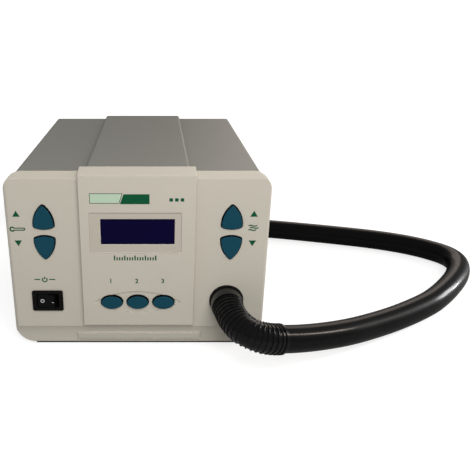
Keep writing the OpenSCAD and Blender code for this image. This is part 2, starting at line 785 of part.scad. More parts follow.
module hose_boot() {
  out_u = concat([1, 1.9], [for (i = [0:boot_ridges - 1], f = [0, 0.25, 0.5, 0.75])
                       boot_neck + (boot_last - boot_neck)*(i + f)/boot_ridges], [boot_last]);
  out_r = concat([boot_r + 0.5, valley_r], [for (i = [0:boot_ridges - 1], f = [0, 1, 2, 3])
                       f < 2 ? boot_r : valley_r], [boot_r]);
  in_u = [for (i = [2*boot_last:-1:2]) i/2];
  u = concat(out_u, in_u);
  color(black_rubber) place()
    tube([for (a = u) curve(a)], [for (a = u) heading(a)],
         concat(out_r, [for (a = in_u) boot_bore]), 16, true);
}

// Duct between the blower's outlet and the collar's spigot
module air_duct() {
  color("#5b5b58") place() difference() {
    rod_y(outlet_x, outlet_z, spigot_r + 2, 8, pipe_end + 5.5);
    rod_y(outlet_x, outlet_z, spigot_r, 7, pipe_end + 9);
  }
}

// Spiral outline of the blower housing, widest beside its outlet
function spiral(grow) =
  [for (a = [0:5:360]) (volute_r + 3*volute_step*(1 - a/360) + grow)*[cos(a), sin(a)]];

outlet_box = pipe_end + 6;

module scroll_outline(grow) {
  translate([blower_x, blower_y]) polygon(spiral(grow));
  translate([outlet_x - pipe_r - grow, outlet_box]) square([2*(pipe_r + grow), blower_y - outlet_box]);
}

lid_z = blower_top - blower_wall;
eye_r = 20;

module blower_base() {
  color("#2f3134") place() difference() {
    union() {
      translate([0, 0, blower_z]) linear_extrude(lid_z - blower_z) scroll_outline(0);
      rod_y(outlet_x, outlet_z, spigot_r, pipe_end, outlet_box + 1);
    }
    translate([0, 0, blower_z + blower_wall]) linear_extrude(blower_h) difference() {
      scroll_outline(-blower_wall);
      translate([0, outlet_box - 1]) square([200, blower_wall + 1]);
    }
    rod_y(outlet_x, outlet_z, spigot_bore, pipe_end - 1, outlet_box + 4);
    translate([blower_x, blower_y, blower_z - 1]) cylinder(r=eye_r, h=blower_wall + 2);
  }
}

module blower_lid() {
  color("#34363a") place() difference() {
    union() {
      translate([0, 0, lid_z]) linear_extrude(blower_wall) scroll_outline(0);
      translate([blower_x, blower_y, blower_top - eps]) difference() {
        cylinder(r=can_r + 2.5, h=3);
        translate([0, 0, -1]) cylinder(r=can_r + 0.1, h=5);
      }
    }
    translate([blower_x, blower_y, lid_z - 1]) cylinder(r=shaft_r + 2, h=8);
  }
}

// Closed impeller: back disc, curved blades and a ring round the air's eye
disc_z = lid_z - 3.5;
blade_low = blower_z + blower_wall + 2.5;
hub_h = 12;

module impeller() {
  color("#d9d6cc") place() translate([blower_x, blower_y, 0]) difference() {
    union() {
      translate([0, 0, disc_z]) cylinder(r=impeller_r, h=1.5, $fn=72);
      translate([0, 0, disc_z + 1.5 - hub_h]) cylinder(r=6, h=hub_h);
      translate([0, 0, blade_low]) difference() {
        cylinder(r=impeller_r, h=1.2, $fn=72);
        translate([0, 0, -1]) cylinder(r=eye_r + 1, h=4);
      }
      for (k = [0:blade_count - 1]) rotate([0, 0, 360*k/blade_count])
        translate([0, 0, blade_low + 0.4]) linear_extrude(disc_z - blade_low) blade();
    }
    translate([0, 0, disc_z + 1.5 - hub_h - 1]) cylinder(r=shaft_r, h=hub_h + 4);
  }
}

// One backward-curved blade, from the eye to the rim
blade_in = eye_r - 0.5;
blade_span = impeller_r - 1.5 - blade_in;
blade_turn = 34;

function blade_line(f) =
  (blade_in + blade_span*f)*[cos(blade_turn*f*f), sin(blade_turn*f*f)];
function blade_side(f, side) =
  let (t = unit(blade_line(f + 0.01) - blade_line(f - 0.01)))
  blade_line(f) + side*0.7*[-t[1], t[0]];

module blade() {
  steps = 6;
  polygon(concat([for (i = [0:steps]) blade_side(i/steps, 1)],
                 [for (i = [steps:-1:0]) blade_side(i/steps, -1)]));
}

// Motor on the lid: can, stator, two bearings, and the shaft with its rotor
can_z = blower_top;
can_wall = 1.6;
seat_h = bearing_t + 1;

module bearing_seat(z) {
  translate([0, 0, z]) difference() {
    cylinder(r=bearing_r + 2, h=seat_h);
    translate([0, 0, -1]) cylinder(r=bearing_r, h=seat_h + 2);
  }
}

module motor_can() {
  color(steel) place() translate([blower_x, blower_y, 0]) {
    difference() {
      translate([0, 0, can_z]) cylinder(r=can_r, h=can_h);
      translate([0, 0, can_z + can_wall]) cylinder(r=can_r - can_wall, h=can_h - 2*can_wall);
      translate([0, 0, can_z - 1]) cylinder(r=bearing_r, h=can_h + 2);
      for (k = [0:5]) rotate([0, 0, 60*k]) translate([13.5, 0, can_z + can_h - 4]) cylinder(r=2, h=6);
    }
    bearing_seat(can_z);
    bearing_seat(can_z + can_h - seat_h);
  }
}

module motor_stator() {
  stator_low = can_z + seat_h + 2;
  stator_h = can_h - 2*seat_h - 4;
  color("#a4572c") place() translate([blower_x, blower_y, stator_low]) difference() {
    cylinder(r=can_r - can_wall, h=stator_h);
    translate([0, 0, -1]) cylinder(r=11, h=stator_h + 2);
    for (k = [0:5]) rotate([0, 0, 60*k]) translate([14.6, 0, -1]) cylinder(r=1.8, h=stator_h + 2);
  }
}

module motor_bearings() {
  color("#8d9296") place() for (z = [can_z + 0.5, can_z + can_h - bearing_t - 0.5])
    translate([blower_x, blower_y, z]) difference() {
      cylinder(r=bearing_r, h=bearing_t);
      translate([0, 0, -1]) cylinder(r=shaft_r + run_clear, h=bearing_t + 2);
    }
}

module motor_shaft() {
  rotor_low = can_z + seat_h + 2.5;
  color("#9a9da0") place() translate([blower_x, blower_y, 0]) {
    translate([0, 0, disc_z + 1.5 - hub_h]) cylinder(r=shaft_r, h=can_z + can_h + 3 - disc_z - 1.5 + hub_h);
    translate([0, 0, rotor_low]) cylinder(r=10, h=can_h - 2*seat_h - 5);
  }
}

module blower_mounts() {
  color(black_rubber) place() for (m = rubber_mounts) translate([m[0], m[1], tray_top]) {
    cylinder(r=5, h=3);
    cylinder(r=3.6, h=blower_z - tray_top);
    translate([0, 0, blower_z - tray_top - 3]) cylinder(r=5, h=3);
  }
}

module intake_filter() {
  color("#3c4a40") place() translate([blower_x, blower_y, blower_z - 4]) {
    difference() {
      cylinder(r=eye_r + 4, h=4);
      translate([0, 0, -1]) cylinder(r=eye_r - 1, h=6);
    }
    intersection() {
      cylinder(r=eye_r, h=4);
      for (i = [-3:3]) {
        translate([5.4*i - 0.6, -eye_r, 0]) cube([1.2, 2*eye_r, 2]);
        translate([-eye_r, 5.4*i - 0.6, 0]) cube([2*eye_r, 1.2, 2]);
      }
    }
  }
}

// What stands on the power board is placed from the board's left front corner
board_z = tray_top + 10;
power_top = board_z + board_t;

module power_board() {
  color(board_green) place() difference() {
    box(power_x0, power_x1, power_y0, power_y1, board_z, power_top);
    for (q = pillars) translate([q[0], q[1], 0]) cylinder(r=1.6, h=40);
  }
}

module board_pillars() {
  color("#d8d8d2") place() for (q = pillars) translate([q[0], q[1], tray_top]) {
    cylinder(r=3.2, h=board_z - tray_top, $fn=6);
    cylinder(r=1.55, h=power_top - tray_top + 0.5);
    translate([0, 0, power_top - tray_top]) cylinder(r=2.8, h=1.8);
  }
}

sink_x = power_x0 + 20;
sink_y = power_y0 + 26;

module heat_sink() {
  color("#9fa3a6") place() translate([sink_x, sink_y, power_top]) {
    box(-16, 16, 0, 3.5, 0, 34);
    for (i = [-4:4]) box(3.8*i - 0.6, 3.8*i + 0.6, 3.4, 16, 0, 34);
  }
}

module triacs() {
  color("#232326") place() for (x = [-8, 8]) translate([sink_x + x, sink_y, power_top]) {
    box(-5, 5, -4.4, 0, 9, 18);
    difference() {
      box(-5, 5, -1.4, 0, 17.9, 24);
      rod_y(0, 21, 1.7, -2, 1);
    }
    for (i = [-1:1]) box(2.5*i - 0.4, 2.5*i + 0.4, -2.6, -2, 0, 9.1);
    rod_y(0, 21, 1.7, -1.4, 0);
    rod_y(0, 21, 2.6, -3.2, -1.39);
  }
}

module capacitors() {
  color("#27406e") place() {
    for (c = [[46, 12, 8, 26], [46, 32, 8, 26], [10, 10, 5, 16], [22, 10, 5, 16]])
      translate([power_x0 + c[0], power_y0 + c[1], power_top]) {
        cylinder(r=c[2], h=c[3] - 1);
        translate([0, 0, c[3] - 1 - eps]) cylinder(r1=c[2], r2=c[2] - 1, h=1);
      }
    box(power_x0 + 28, power_x0 + 38, power_y0 + 4, power_y0 + 20, power_top, power_top + 14);
  }
}

module terminal_blocks() {
  color("#2f8f5b") place() for (t = [[8, 4], [34, 3]])
    translate([power_x0 + t[0], power_y1 - 10, power_top]) difference() {
      box(0, 5*t[1], 0, 8, 0, 10);
      for (i = [0:t[1] - 1]) {
        box(5*i + 1, 5*i + 4, -1, 5, 2, 6);
        translate([5*i + 2.5, 5, 7]) cylinder(r=1.6, h=4, $fn=24);
      }
    }
}

// Transformer: laminated core with two windows, the coil round its middle leg
core_x = -46;
core_y = 67;
core_w = 57;
core_h = 48;
core_d = 24;
leg = 9.5;

module transformer_core() {
  color("#6d6f73") place() translate([core_x, core_y, tray_top]) {
    difference() {
      box(-core_w/2, core_w/2, -core_d/2, core_d/2, 2, 2 + core_h);
      for (s = [-1, 1]) box(s*core_w/4 - leg/2, s*core_w/4 + leg/2, -core_d, core_d, 2 + leg, 2 + core_h - leg);
    }
    difference() {
      box(-core_w/2 - 8, core_w/2 + 8, -core_d/2, core_d/2, 0, 2 + eps);
      for (s = [-1, 1]) translate([s*(core_w/2 + 4.5), 0, -1]) cylinder(r=1.8, h=4);
    }
    for (s = [-1, 1]) translate([s*(core_w/2 + 4.5), 0, 0]) {
      cylinder(r=1.8, h=3);
      translate([0, 0, 2]) cylinder(r=3.2, h=2);
    }
  }
}

module transformer_coil() {
  half = core_w/4 + leg/2 - 0.6;
  color("#caa64a") place() translate([core_x, core_y, tray_top + 2 + leg]) difference() {
    union() {
      box(-half + 1, half - 1, -core_d/2 - leg + 2, core_d/2 + leg - 2, 2, core_h - 2*leg - 2);
      for (z = [0.2, core_h - 2*leg - 2.2]) box(-half, half, -core_d/2 - leg + 1, core_d/2 + leg - 1, z, z + 2);
    }
    box(-core_w/4 + leg/2, core_w/4 - leg/2, -core_d/2, core_d/2, -1, core_h);
  }
}

// Mains inlet: socket with three pins below, and a fuse drawer above it
socket_w = 24.4;
socket_h = 16.6;
socket_z = inlet_z - 7.4;
socket_end = case_depth - 15;
flange_y = case_depth + 3;
pin_tip = case_depth - 3;
pin_back = case_depth - 31;
drawer_w = 21;
drawer_h = 9;
drawer_z = inlet_z + 11.4;
drawer_end = case_depth - 17;
pins = [[-7, -1.4], [7, -1.4], [0, 2.8]];

module mains_inlet() {
  color(dark_plastic) place() difference() {
    union() {
      box(inlet_x - inlet_w/2, inlet_x + inlet_w/2, case_depth - 24, flange_y,
          inlet_z - inlet_h/2, inlet_z + inlet_h/2);
      translate([inlet_x, 0, inlet_z]) along_y(case_depth, flange_y) {
        round_rect(inlet_w + 5, inlet_h + 5, 3);
        slot(2*ear_x + 9, 9);
        for (s = [-1, 1]) translate([s*ear_x, 0]) circle(4.5);
      }
    }
    translate([inlet_x, 0, socket_z]) along_y(socket_end, flange_y + 1) polygon([
      [-socket_w/2, -socket_h/2], [socket_w/2, -socket_h/2], [socket_w/2, socket_h/2 - 5],
      [socket_w/2 - 5, socket_h/2], [-socket_w/2 + 5, socket_h/2], [-socket_w/2, socket_h/2 - 5]]);
    box(inlet_x - drawer_w/2 - 0.3, inlet_x + drawer_w/2 + 0.3, drawer_end - 0.5, flange_y + 1,
        drawer_z - drawer_h/2 - 0.3, drawer_z + drawer_h/2 + 0.3);
    for (q = pins) box(inlet_x + q[0] - 1, inlet_x + q[0] + 1, case_depth - 26, socket_end + 1,
                       socket_z + q[1] - 2, socket_z + q[1] + 2);
    for (s = [-1, 1]) rod_y(inlet_x + s*ear_x, inlet_z, 1.6, case_depth - 1, flange_y + 1);
  }
}

module inlet_pins() {
  color("#cfcfc8") place() for (q = pins)
    box(inlet_x + q[0] - 1, inlet_x + q[0] + 1, pin_back, pin_tip,
        socket_z + q[1] - 2, socket_z + q[1] + 2);
}

module fuse_drawer() {
  color("#2b2b2b") place() difference() {
    union() {
      box(inlet_x - drawer_w/2, inlet_x + drawer_w/2, drawer_end, flange_y + 0.5,
          drawer_z - drawer_h/2, drawer_z + drawer_h/2);
      box(inlet_x - 4, inlet_x + 4, flange_y + 0.4, case_depth + inlet_out, drawer_z + 1, drawer_z + 2.4);
    }
    box(inlet_x - drawer_w/2 + 1.2, inlet_x + drawer_w/2 - 1.2, drawer_end + 2, flange_y - 6,
        drawer_z - drawer_h/2 + 1.4, drawer_z + drawer_h);
  }
}

module fuse() {
  color("#d5dadd") place() translate([inlet_x, drawer_end + 5.5, drawer_z - drawer_h/2 + 1.4 + 2.6])
    rotate([0, 90, 0]) {
      translate([0, 0, -drawer_w/2 + 1.2]) cylinder(r=2.6, h=5);
      translate([0, 0, -6]) cylinder(r=2.2, h=12);
      translate([0, 0, drawer_w/2 - 6.2]) cylinder(r=2.6, h=5);
    }
}

// Ground jack: a socket for a 4 mm plug, with its nut behind the panel
module ground_jack() {
  color("#b8973f") place() difference() {
    union() {
      rod_y(jack_x, jack_z, 5.6, case_depth, case_depth + 3.5);
      rod_y(jack_x, jack_z, 4, case_depth - 14, case_depth + 1);
      translate([jack_x, panel_y, jack_z]) rotate([90, 0, 0]) cylinder(r=6, h=3, $fn=6);
    }
    rod_y(jack_x, jack_z, jack_r, case_depth - 11, case_depth + 4);
  }
}

// Two wires from the inlet along the left wall to the power switch
module wire(points) {
  n = len(points);
  tube(points, [for (i = [0:n - 1]) unit(points[min(n - 1, i + 1)] - points[max(0, i - 1)])],
       [for (p = points) 1.3], 8);
}

module mains_wires() {
  tab_y = switch_body + 8;
  wall_x = -cover_w/2 + 6.4;
  color("#7b3f2a") place() for (w = [[-5, -7, 0], [5, 7, 4]])
    wire([[switch_x + w[0], tab_y, switch_z], [switch_x + w[0], tab_y + 5, switch_z],
          [switch_x + w[0]/2 - 4, tab_y + 12, switch_z + 4 + w[2]],
          [wall_x, tab_y + 24, switch_z + 6 + w[2]], [wall_x, power_y0, switch_z + 6 + w[2]],
          [wall_x, pin_back - 34, switch_z + 6 + w[2]],
          [wall_x + 4, pin_back - 18, switch_z + 8 + w[2]],
          [inlet_x + w[1] - 6, pin_back - 11, socket_z + w[2]],
          [inlet_x + w[1], pin_back - 6, socket_z - 1.4], [inlet_x + w[1], pin_back, socket_z - 1.4]]);
}

// Handle: two shells split upright, with a tail ring and a front flange
flange_at = handle_len - 20;
grip_r = handle_r - 3.5;
tail_bore = boot_r + 0.1;
cavity_r = grip_r - handle_wall;
handle_screw_r = handle_r - 3.3;

module handle_form() {
  translate([0, 0, hand_z]) rotate([90, 0, 0]) rotate_extrude($fn=64) difference() {
    union() {
      polygon([[0, 0], [handle_r - 1, 0], [handle_r, 1], [handle_r, 8], [handle_r - 1, 9],
               [grip_r - 1.5, 13], [grip_r - 1.5, 20], [grip_r, 32], [grip_r, flange_at - 14],
               [handle_r - 1, flange_at - 2], [handle_r, flange_at], [handle_r, flange_at + 10],
               [handle_r - 2, flange_at + 13], [handle_r - 3, handle_len], [0, handle_len]]);
    }
    translate([0, 9]) square([cavity_r - 1.5, 12]);
    translate([0, 20]) square([cavity_r, flange_at - 26]);
    translate([0, 20]) square([barrel_r, handle_len]);
    translate([0, -1]) square([tail_bore, 20]);
    translate([0, handle_len - 9]) square([barrel_r + 3, 20]);
    for (i = [0:6]) translate([grip_r - 0.7, 36 + 5*i]) square([2, 1.6]);
  }
}

handle_screw_at = [for (s = [4.5, flange_at + 5], z = [-1, 1]) [s, z]];

module handle_half(side) {
  difference() {
    handle_form();
    translate([side*50, -60, hand_z]) cube([100, 300, 100], center=true);
    for (h = handle_screw_at) translate([0, -h[0], hand_z + h[1]*handle_screw_r])
      rotate([0, 90, 0]) {
        translate([0, 0, -20]) cylinder(r=1.15, h=27);
        translate([0, 0, -22]) cylinder(r=2.3, h=16);
      }
  }
}

module handle_left() { color(black_rubber) hand_place() handle_half(1); }
module handle_right() { color(black_rubber) hand_place() handle_half(-1); }

module handle_screws() {
  color(steel) hand_place() for (h = handle_screw_at)
    translate([0, -h[0], hand_z + h[1]*handle_screw_r]) rotate([0, 90, 0]) difference() {
      union() {
        translate([0, 0, -7.6]) cylinder(r=2.1, h=1.6);
        translate([0, 0, -6 - eps]) cylinder(r=1.12, h=12.6);
      }
      translate([0, 0, -8]) linear_extrude(1.2) {
        square([2.6, 0.6], center=true);
        square([0.6, 2.6], center=true);
      }
    }
}

// Ridged boot round the hose in the handle's tail
module hand_boot() {
  out = 24;
  color(black_rubber) hand_place() translate([0, 0, hand_z]) rotate([-90, 0, 0])
    rotate_extrude() difference() {
      union() {
        translate([0, -10]) square([tail_bore - 0.1, 11]);
        polygon([[0, 0], [valley_r, 0], [valley_r, out], [0, out]]);
        for (i = [0:5]) translate([0, 2 + 4*i]) square([boot_r, 2]);
      }
      translate([0, -11]) square([boot_bore, out + 20]);
    }
}

// Heat-insulating collar that holds the barrel in the handle
module heat_collar() {
  color("#c9c1ae") hand_place() translate([0, -(handle_len - 9), hand_z]) rotate([90, 0, 0])
    difference() {
      union() {
        cylinder(r=barrel_r + 3, h=9);
        translate([0, 0, 9]) cylinder(r1=handle_r - 3, r2=barrel_r + 2, h=7);
      }
      translate([0, 0, -1]) cylinder(r=barrel_r, h=18);
      for (k = [0:7]) rotate([0, 0, 45*k + 22.5]) translate([barrel_r - 1, -1, 12]) cube([8, 2, 6]);
    }
}

barrel_y = -(handle_len - 12);
barrel_end = -(handle_len + barrel_len);

module barrel() {
  color("#c6c8ca") hand_place() difference() {
    rod_y(0, hand_z, barrel_r, barrel_end, barrel_y);
    rod_y(0, hand_z, barrel_r - 0.8, barrel_end - 1, barrel_y + 1);
  }
}

// Heater: a mica cross with the coil wound round it, and its leads
module heater_core() {
  coil_r = barrel_r - 3.2;
  start = barrel_end + 6;
  len_y = barrel_len - 4;
  color("#b89a6a") hand_place() translate([0, start, hand_z]) {
    box(-barrel_r + 1.2, barrel_r - 1.2, 0, len_y, -0.5, 0.5);
    box(-0.5, 0.5, 0, len_y, -barrel_r + 1.2, barrel_r - 1.2);
    for (i = [0:11]) translate([0, 4 + i*(len_y - 10)/11, 0]) rotate([-90, 0, 0])
      rotate_extrude() translate([coil_r - 0.8, 0]) square(1.5);
  }
}

// Nozzle, clamped round the barrel's end by a screw through two ears
nozzle_sleeve_r = barrel_r + 1.4;
ear_h = 7;

module nozzle() {
  wall = 1;
  color("#b3b5b7") hand_place() translate([0, barrel_end + sleeve_len, hand_z]) {
    difference() {
      union() {
        rotate([90, 0, 0]) rotate_extrude() polygon([
          [0, 0], [nozzle_sleeve_r, 0], [nozzle_sleeve_r, sleeve_len + 2],
          [nozzle_tip_r + wall, sleeve_len + 9], [nozzle_tip_r + wall, sleeve_len + nozzle_len],
          [0, sleeve_len + nozzle_len]]);
        box(-4, 4, -9, -1, 0, nozzle_sleeve_r + ear_h);
      }
      rotate([90, 0, 0]) {
        translate([0, 0, -1]) cylinder(r=barrel_r + run_clear, h=sleeve_len + 1);
        translate([0, 0, sleeve_len - eps]) cylinder(r=barrel_r - 0.8, h=1.6);
        translate([0, 0, sleeve_len + 1.4]) cylinder(r1=barrel_r - 0.8, r2=nozzle_tip_r, h=7.6);
        translate([0, 0, sleeve_len]) cylinder(r=nozzle_tip_r, h=nozzle_len + 5);
      }
      box(-0.8, 0.8, -10, 1, 0, 60);
      translate([-10, -5, nozzle_sleeve_r + 3.6]) rotate([0, 90, 0]) cylinder(r=1.55, h=20);
    }
  }
}

module nozzle_screw() {
  color(steel) hand_place() translate([0, barrel_end + sleeve_len - 5, hand_z + nozzle_sleeve_r + 3.6])
    rotate([0, 90, 0]) {
      translate([0, 0, -6.4]) difference() {
        cylinder(r=2.8, h=2.4);
        translate([0, 0, -0.1]) linear_extrude(1) square([4, 0.8], center=true);
      }
      translate([0, 0, -4 - eps]) cylinder(r=1.5, h=11);
      translate([0, 0, 4]) cylinder(r=3, h=2.2, $fn=6);
    }
}

front_bezel();
centre_fascia();
display_window();
display_module();
control_board();
key_switches();
board_screws();
temp_up_button();
temp_down_button();
air_up_button();
air_down_button();
channel_1_button();
channel_2_button();
channel_3_button();
switch_housing();
switch_rocker();
switch_tabs();
base_tray();
rear_panel();
top_cover();
cover_screws();
rear_screws();
rubber_feet();
foot_screws();
outlet_collar();
hose_boot();
air_hose();
air_duct();
blower_base();
blower_lid();
impeller();
motor_can();
motor_stator();
motor_bearings();
motor_shaft();
blower_mounts();
intake_filter();
power_board();
board_pillars();
heat_sink();
triacs();
capacitors();
terminal_blocks();
transformer_core();
transformer_coil();
mains_inlet();
inlet_pins();
fuse_drawer();
fuse();
ground_jack();
mains_wires();
handle_left();
handle_right();
handle_screws();
hand_boot();
heat_collar();
barrel();
heater_core();
nozzle();
nozzle_screw();
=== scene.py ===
# A hot air rework station on a bench: the blower case, its air hose and the heated handpiece.
import math
import bmesh
import bpy
from mathutils import Matrix, Vector


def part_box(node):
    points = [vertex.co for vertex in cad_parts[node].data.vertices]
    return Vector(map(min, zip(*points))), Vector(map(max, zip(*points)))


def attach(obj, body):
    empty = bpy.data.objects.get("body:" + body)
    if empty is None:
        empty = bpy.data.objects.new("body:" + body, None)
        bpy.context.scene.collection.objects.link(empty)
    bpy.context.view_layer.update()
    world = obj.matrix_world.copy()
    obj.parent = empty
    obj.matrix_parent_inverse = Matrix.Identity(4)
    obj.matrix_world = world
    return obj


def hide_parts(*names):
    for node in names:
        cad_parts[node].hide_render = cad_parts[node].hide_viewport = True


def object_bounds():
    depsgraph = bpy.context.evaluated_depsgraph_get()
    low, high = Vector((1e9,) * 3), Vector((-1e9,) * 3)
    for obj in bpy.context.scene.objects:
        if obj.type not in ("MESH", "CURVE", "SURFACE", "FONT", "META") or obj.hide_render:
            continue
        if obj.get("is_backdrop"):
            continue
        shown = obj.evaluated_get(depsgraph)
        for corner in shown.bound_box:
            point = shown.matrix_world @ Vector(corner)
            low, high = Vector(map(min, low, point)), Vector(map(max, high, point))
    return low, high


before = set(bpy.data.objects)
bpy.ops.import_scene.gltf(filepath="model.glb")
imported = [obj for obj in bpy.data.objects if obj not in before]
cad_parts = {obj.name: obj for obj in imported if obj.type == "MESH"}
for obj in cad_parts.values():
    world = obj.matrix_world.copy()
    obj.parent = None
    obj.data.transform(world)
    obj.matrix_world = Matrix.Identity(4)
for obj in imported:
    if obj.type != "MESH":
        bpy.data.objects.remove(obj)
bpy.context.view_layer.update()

# Camera. It stands a forearm's length in front of the case, a little to the right of its
# middle and above it, and looks down on the front. The picture is cut to the right, so the
# lens is shifted sideways.
PHOTO_W = 470
FOCAL_PX = 588
STRAIGHT_AHEAD_PX = 154
SENSOR_MM = 36
CAMERA_TILT = 68.3
FASCIA_PROUD = 0.004
bezel_low, bezel_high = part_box("front_bezel")
case_x = (bezel_low[0] + bezel_high[0]) / 2
face_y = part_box("centre_fascia")[0][1] + FASCIA_PROUD
camera_data = bpy.data.cameras.new("camera")
camera_data.sensor_width = SENSOR_MM
camera_data.lens = SENSOR_MM * FOCAL_PX / PHOTO_W
camera_data.shift_x = (PHOTO_W / 2 - STRAIGHT_AHEAD_PX) / PHOTO_W
camera = bpy.data.objects.new("camera", camera_data)
camera.location = (case_x + 0.0116, face_y - 0.391, 0.2475)
camera.rotation_euler = (math.radians(CAMERA_TILT), 0, 0)
bpy.context.scene.collection.objects.link(camera)
bpy.context.scene.camera = camera


# Air hose. A smooth black rubber hose, 20 mm thick, from the collar in the front, round the
# right of the case and behind it, and back to the handpiece's tail. It is satin, with a
# faint grain from the die that it was drawn through. Its centre line is in millimetres from
# the middle of the face, at bench height.
HOSE_R = 0.010
ROUTE = [
    (65.7, 8, 39), (65.7, -1.5, 39), (65.7, -11, 39), (67.7, -21.5, 37), (72, -30.5, 34.8),
    (78, -36, 32.8), (85.5, -38, 30.6), (93, -37, 28.6), (100, -34, 26.6), (116, -27, 22.8),
    (136, -17.5, 19), (158, -6, 15.6), (181, 8, 12.6), (206, 23.5, 10.8), (232, 41, 10),
    (250, 55, 10), (270, 75, 10), (290, 99, 10), (302, 119, 10), (307, 136, 10),
    (304, 151, 10), (294, 164, 10), (281, 175, 10), (266, 184, 10), (245, 193.5, 10),
    (220, 202, 10), (190, 211, 10), (150, 222, 10), (110, 231, 10), (60, 238, 10),
    (0, 242, 10), (-92, 248, 10), (-130, 262, 10), (-157, 292, 10), (-165, 328, 11.5),
    (-156, 364, 14.5), (-130, 391, 17.5), (-90, 402, 20), (-73, 402, 20), (-40, 402, 20),
]
route = [Vector((case_x + x / 1000, face_y + y / 1000, z / 1000)) for x, y, z in ROUTE]


def along(points, u):
    """The point of the smooth curve through the points, at u between two whole numbers."""
    i = min(int(u), len(points) - 2)
    t = u - i
    a, b, c, d = (points[max(0, min(len(points) - 1, i + k))] for k in (-1, 0, 1, 2))
    p = b + t * (c - a) / 2 + t * t * (a - 2.5 * b + 2 * c - d / 2)
    p += t ** 3 * (1.5 * b - a / 2 - 1.5 * c + d / 2)
    return Vector((p.x, p.y, max(p.z, HOSE_R)))


def srgb(red, green, blue):
    """A colour given in the 0 to 255 steps of a screen, as the linear values of a shader."""
    steps = (c / 255 for c in (red, green, blue))
    return [c / 12.92 if c < 0.04 else ((c + 0.055) / 1.055) ** 2.4 for c in steps] + [1.0]


def surface(name, colour, rough, tone=0.05, patch=0.03, grain=0.0006, relief=0.00002,
            metallic=0.0, coat=0.0, stretch=(1, 1, 1), rough_spread=0.06, shine=0.5):
    """A material whose colour drifts in patches and whose face has a fine grain.
    patch and grain are the sizes of both, in metres, relief is the grain's depth, and
    shine is how much the bare face reflects."""
    made = bpy.data.materials.new(name)
    made.use_nodes = True
    nodes, links = made.node_tree.nodes, made.node_tree.links
    shader = nodes["Principled BSDF"]
    shader.inputs["Metallic"].default_value = metallic
    shader.inputs["Specular IOR Level"].default_value = shine
    shader.inputs["Coat Weight"].default_value = coat
    shader.inputs["Coat Roughness"].default_value = 0.15
    place = nodes.new("ShaderNodeTexCoord")
    turn = nodes.new("ShaderNodeMapping")
    turn.inputs["Scale"].default_value = stretch
    links.new(place.outputs["Object"], turn.inputs["Vector"])
    drift = nodes.new("ShaderNodeTexNoise")
    drift.inputs["Scale"].default_value = 1 / patch
    drift.inputs["Detail"].default_value = 4
    links.new(turn.outputs["Vector"], drift.inputs["Vector"])
    fine = nodes.new("ShaderNodeTexNoise")
    fine.inputs["Scale"].default_value = 1 / grain
    fine.inputs["Detail"].default_value = 2
    links.new(turn.outputs["Vector"], fine.inputs["Vector"])
    shade = nodes.new("ShaderNodeMix")
    shade.data_type = "RGBA"
    shade.inputs["A"].default_value = [c * (1 - tone) for c in colour[:3]] + [1]
    shade.inputs["B"].default_value = [min(1, c * (1 + tone)) for c in colour[:3]] + [1]
    links.new(drift.outputs["Fac"], shade.inputs["Factor"])
    speck = nodes.new("ShaderNodeMix")
    speck.data_type = "RGBA"
    speck.blend_type = "MULTIPLY"
    speck.inputs["Factor"].default_value = tone
    links.new(shade.outputs["Result"], speck.inputs["A"])
    links.new(fine.outputs["Fac"], speck.inputs["B"])
    links.new(speck.outputs["Result"], shader.inputs["Base Color"])
    dull = nodes.new("ShaderNodeMapRange")
    dull.inputs["To Min"].default_value = max(0.02, rough - rough_spread)
    dull.inputs["To Max"].default_value = min(1, rough + rough_spread)
    links.new(drift.outputs["Fac"], dull.inputs["Value"])
    links.new(dull.outputs["Result"], shader.inputs["Roughness"])
    bump = nodes.new("ShaderNodeBump")
    bump.inputs["Distance"].default_value = relief
    bump.inputs["Strength"].default_value = 1
    links.new(fine.outputs["Fac"], bump.inputs["Height"])
    links.new(bump.outputs["Normal"], shader.inputs["Normal"])
    return made


def put(name, mesh, material, body):
    """An object for a finished mesh, which rides on a body of the case."""
    obj = bpy.data.objects.new(name, mesh)
    bpy.context.scene.collection.objects.link(obj)
    if material:
        mesh.materials.clear()
        mesh.materials.append(material)
    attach(obj, body)
    return obj


def sweep(name, centres, radii, sides):
    """A round tube through the centres, closed at both ends."""
    verts, faces = [], []
    for i, c in enumerate(centres):
        ahead = (centres[min(i + 1, len(centres) - 1)] - centres[max(i - 1, 0)]).normalized()
        side = ahead.cross(Vector((0, 0, 1))).normalized()
        top = side.cross(ahead)
        for k in range(sides):
            a = 2 * math.pi * k / sides
            verts.append(c + radii[i] * (math.cos(a) * side + math.sin(a) * top))
    for i in range(len(centres) - 1):
        for k in range(sides):
            m = (k + 1) % sides
            a, b = i * sides, (i + 1) * sides
            faces.append((a + k, b + k, b + m, a + m))
    faces.append(tuple(range(sides)))
    faces.append(tuple(reversed(range(len(verts) - sides, len(verts)))))
    mesh = bpy.data.meshes.new(name)
    mesh.from_pydata(verts, [], faces)
    outwards(mesh)
    mesh.shade_smooth()
    return mesh


def outwards(mesh):
    """Turns every face of a closed mesh outwards."""
    work = bmesh.new()
    work.from_mesh(mesh)
    bmesh.ops.recalc_face_normals(work, faces=work.faces)
    work.to_mesh(mesh)
    work.free()


hose_rubber = surface("hose_rubber", srgb(7, 7, 7), 0.38, tone=0.12, patch=0.02, coat=0.18,
                      grain=0.0009, relief=0.0000015, rough_spread=0.02, shine=0.05)
STEPS = 8
HOSE_SIDES = 40
hose_line = [along(route, i / STEPS) for i in range(STEPS * (len(route) - 1) + 1)]
hose_tube = sweep("hose", hose_line, [HOSE_R] * len(hose_line), HOSE_SIDES)
hose = put("hose", hose_tube, hose_rubber, "station")
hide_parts("air_hose")

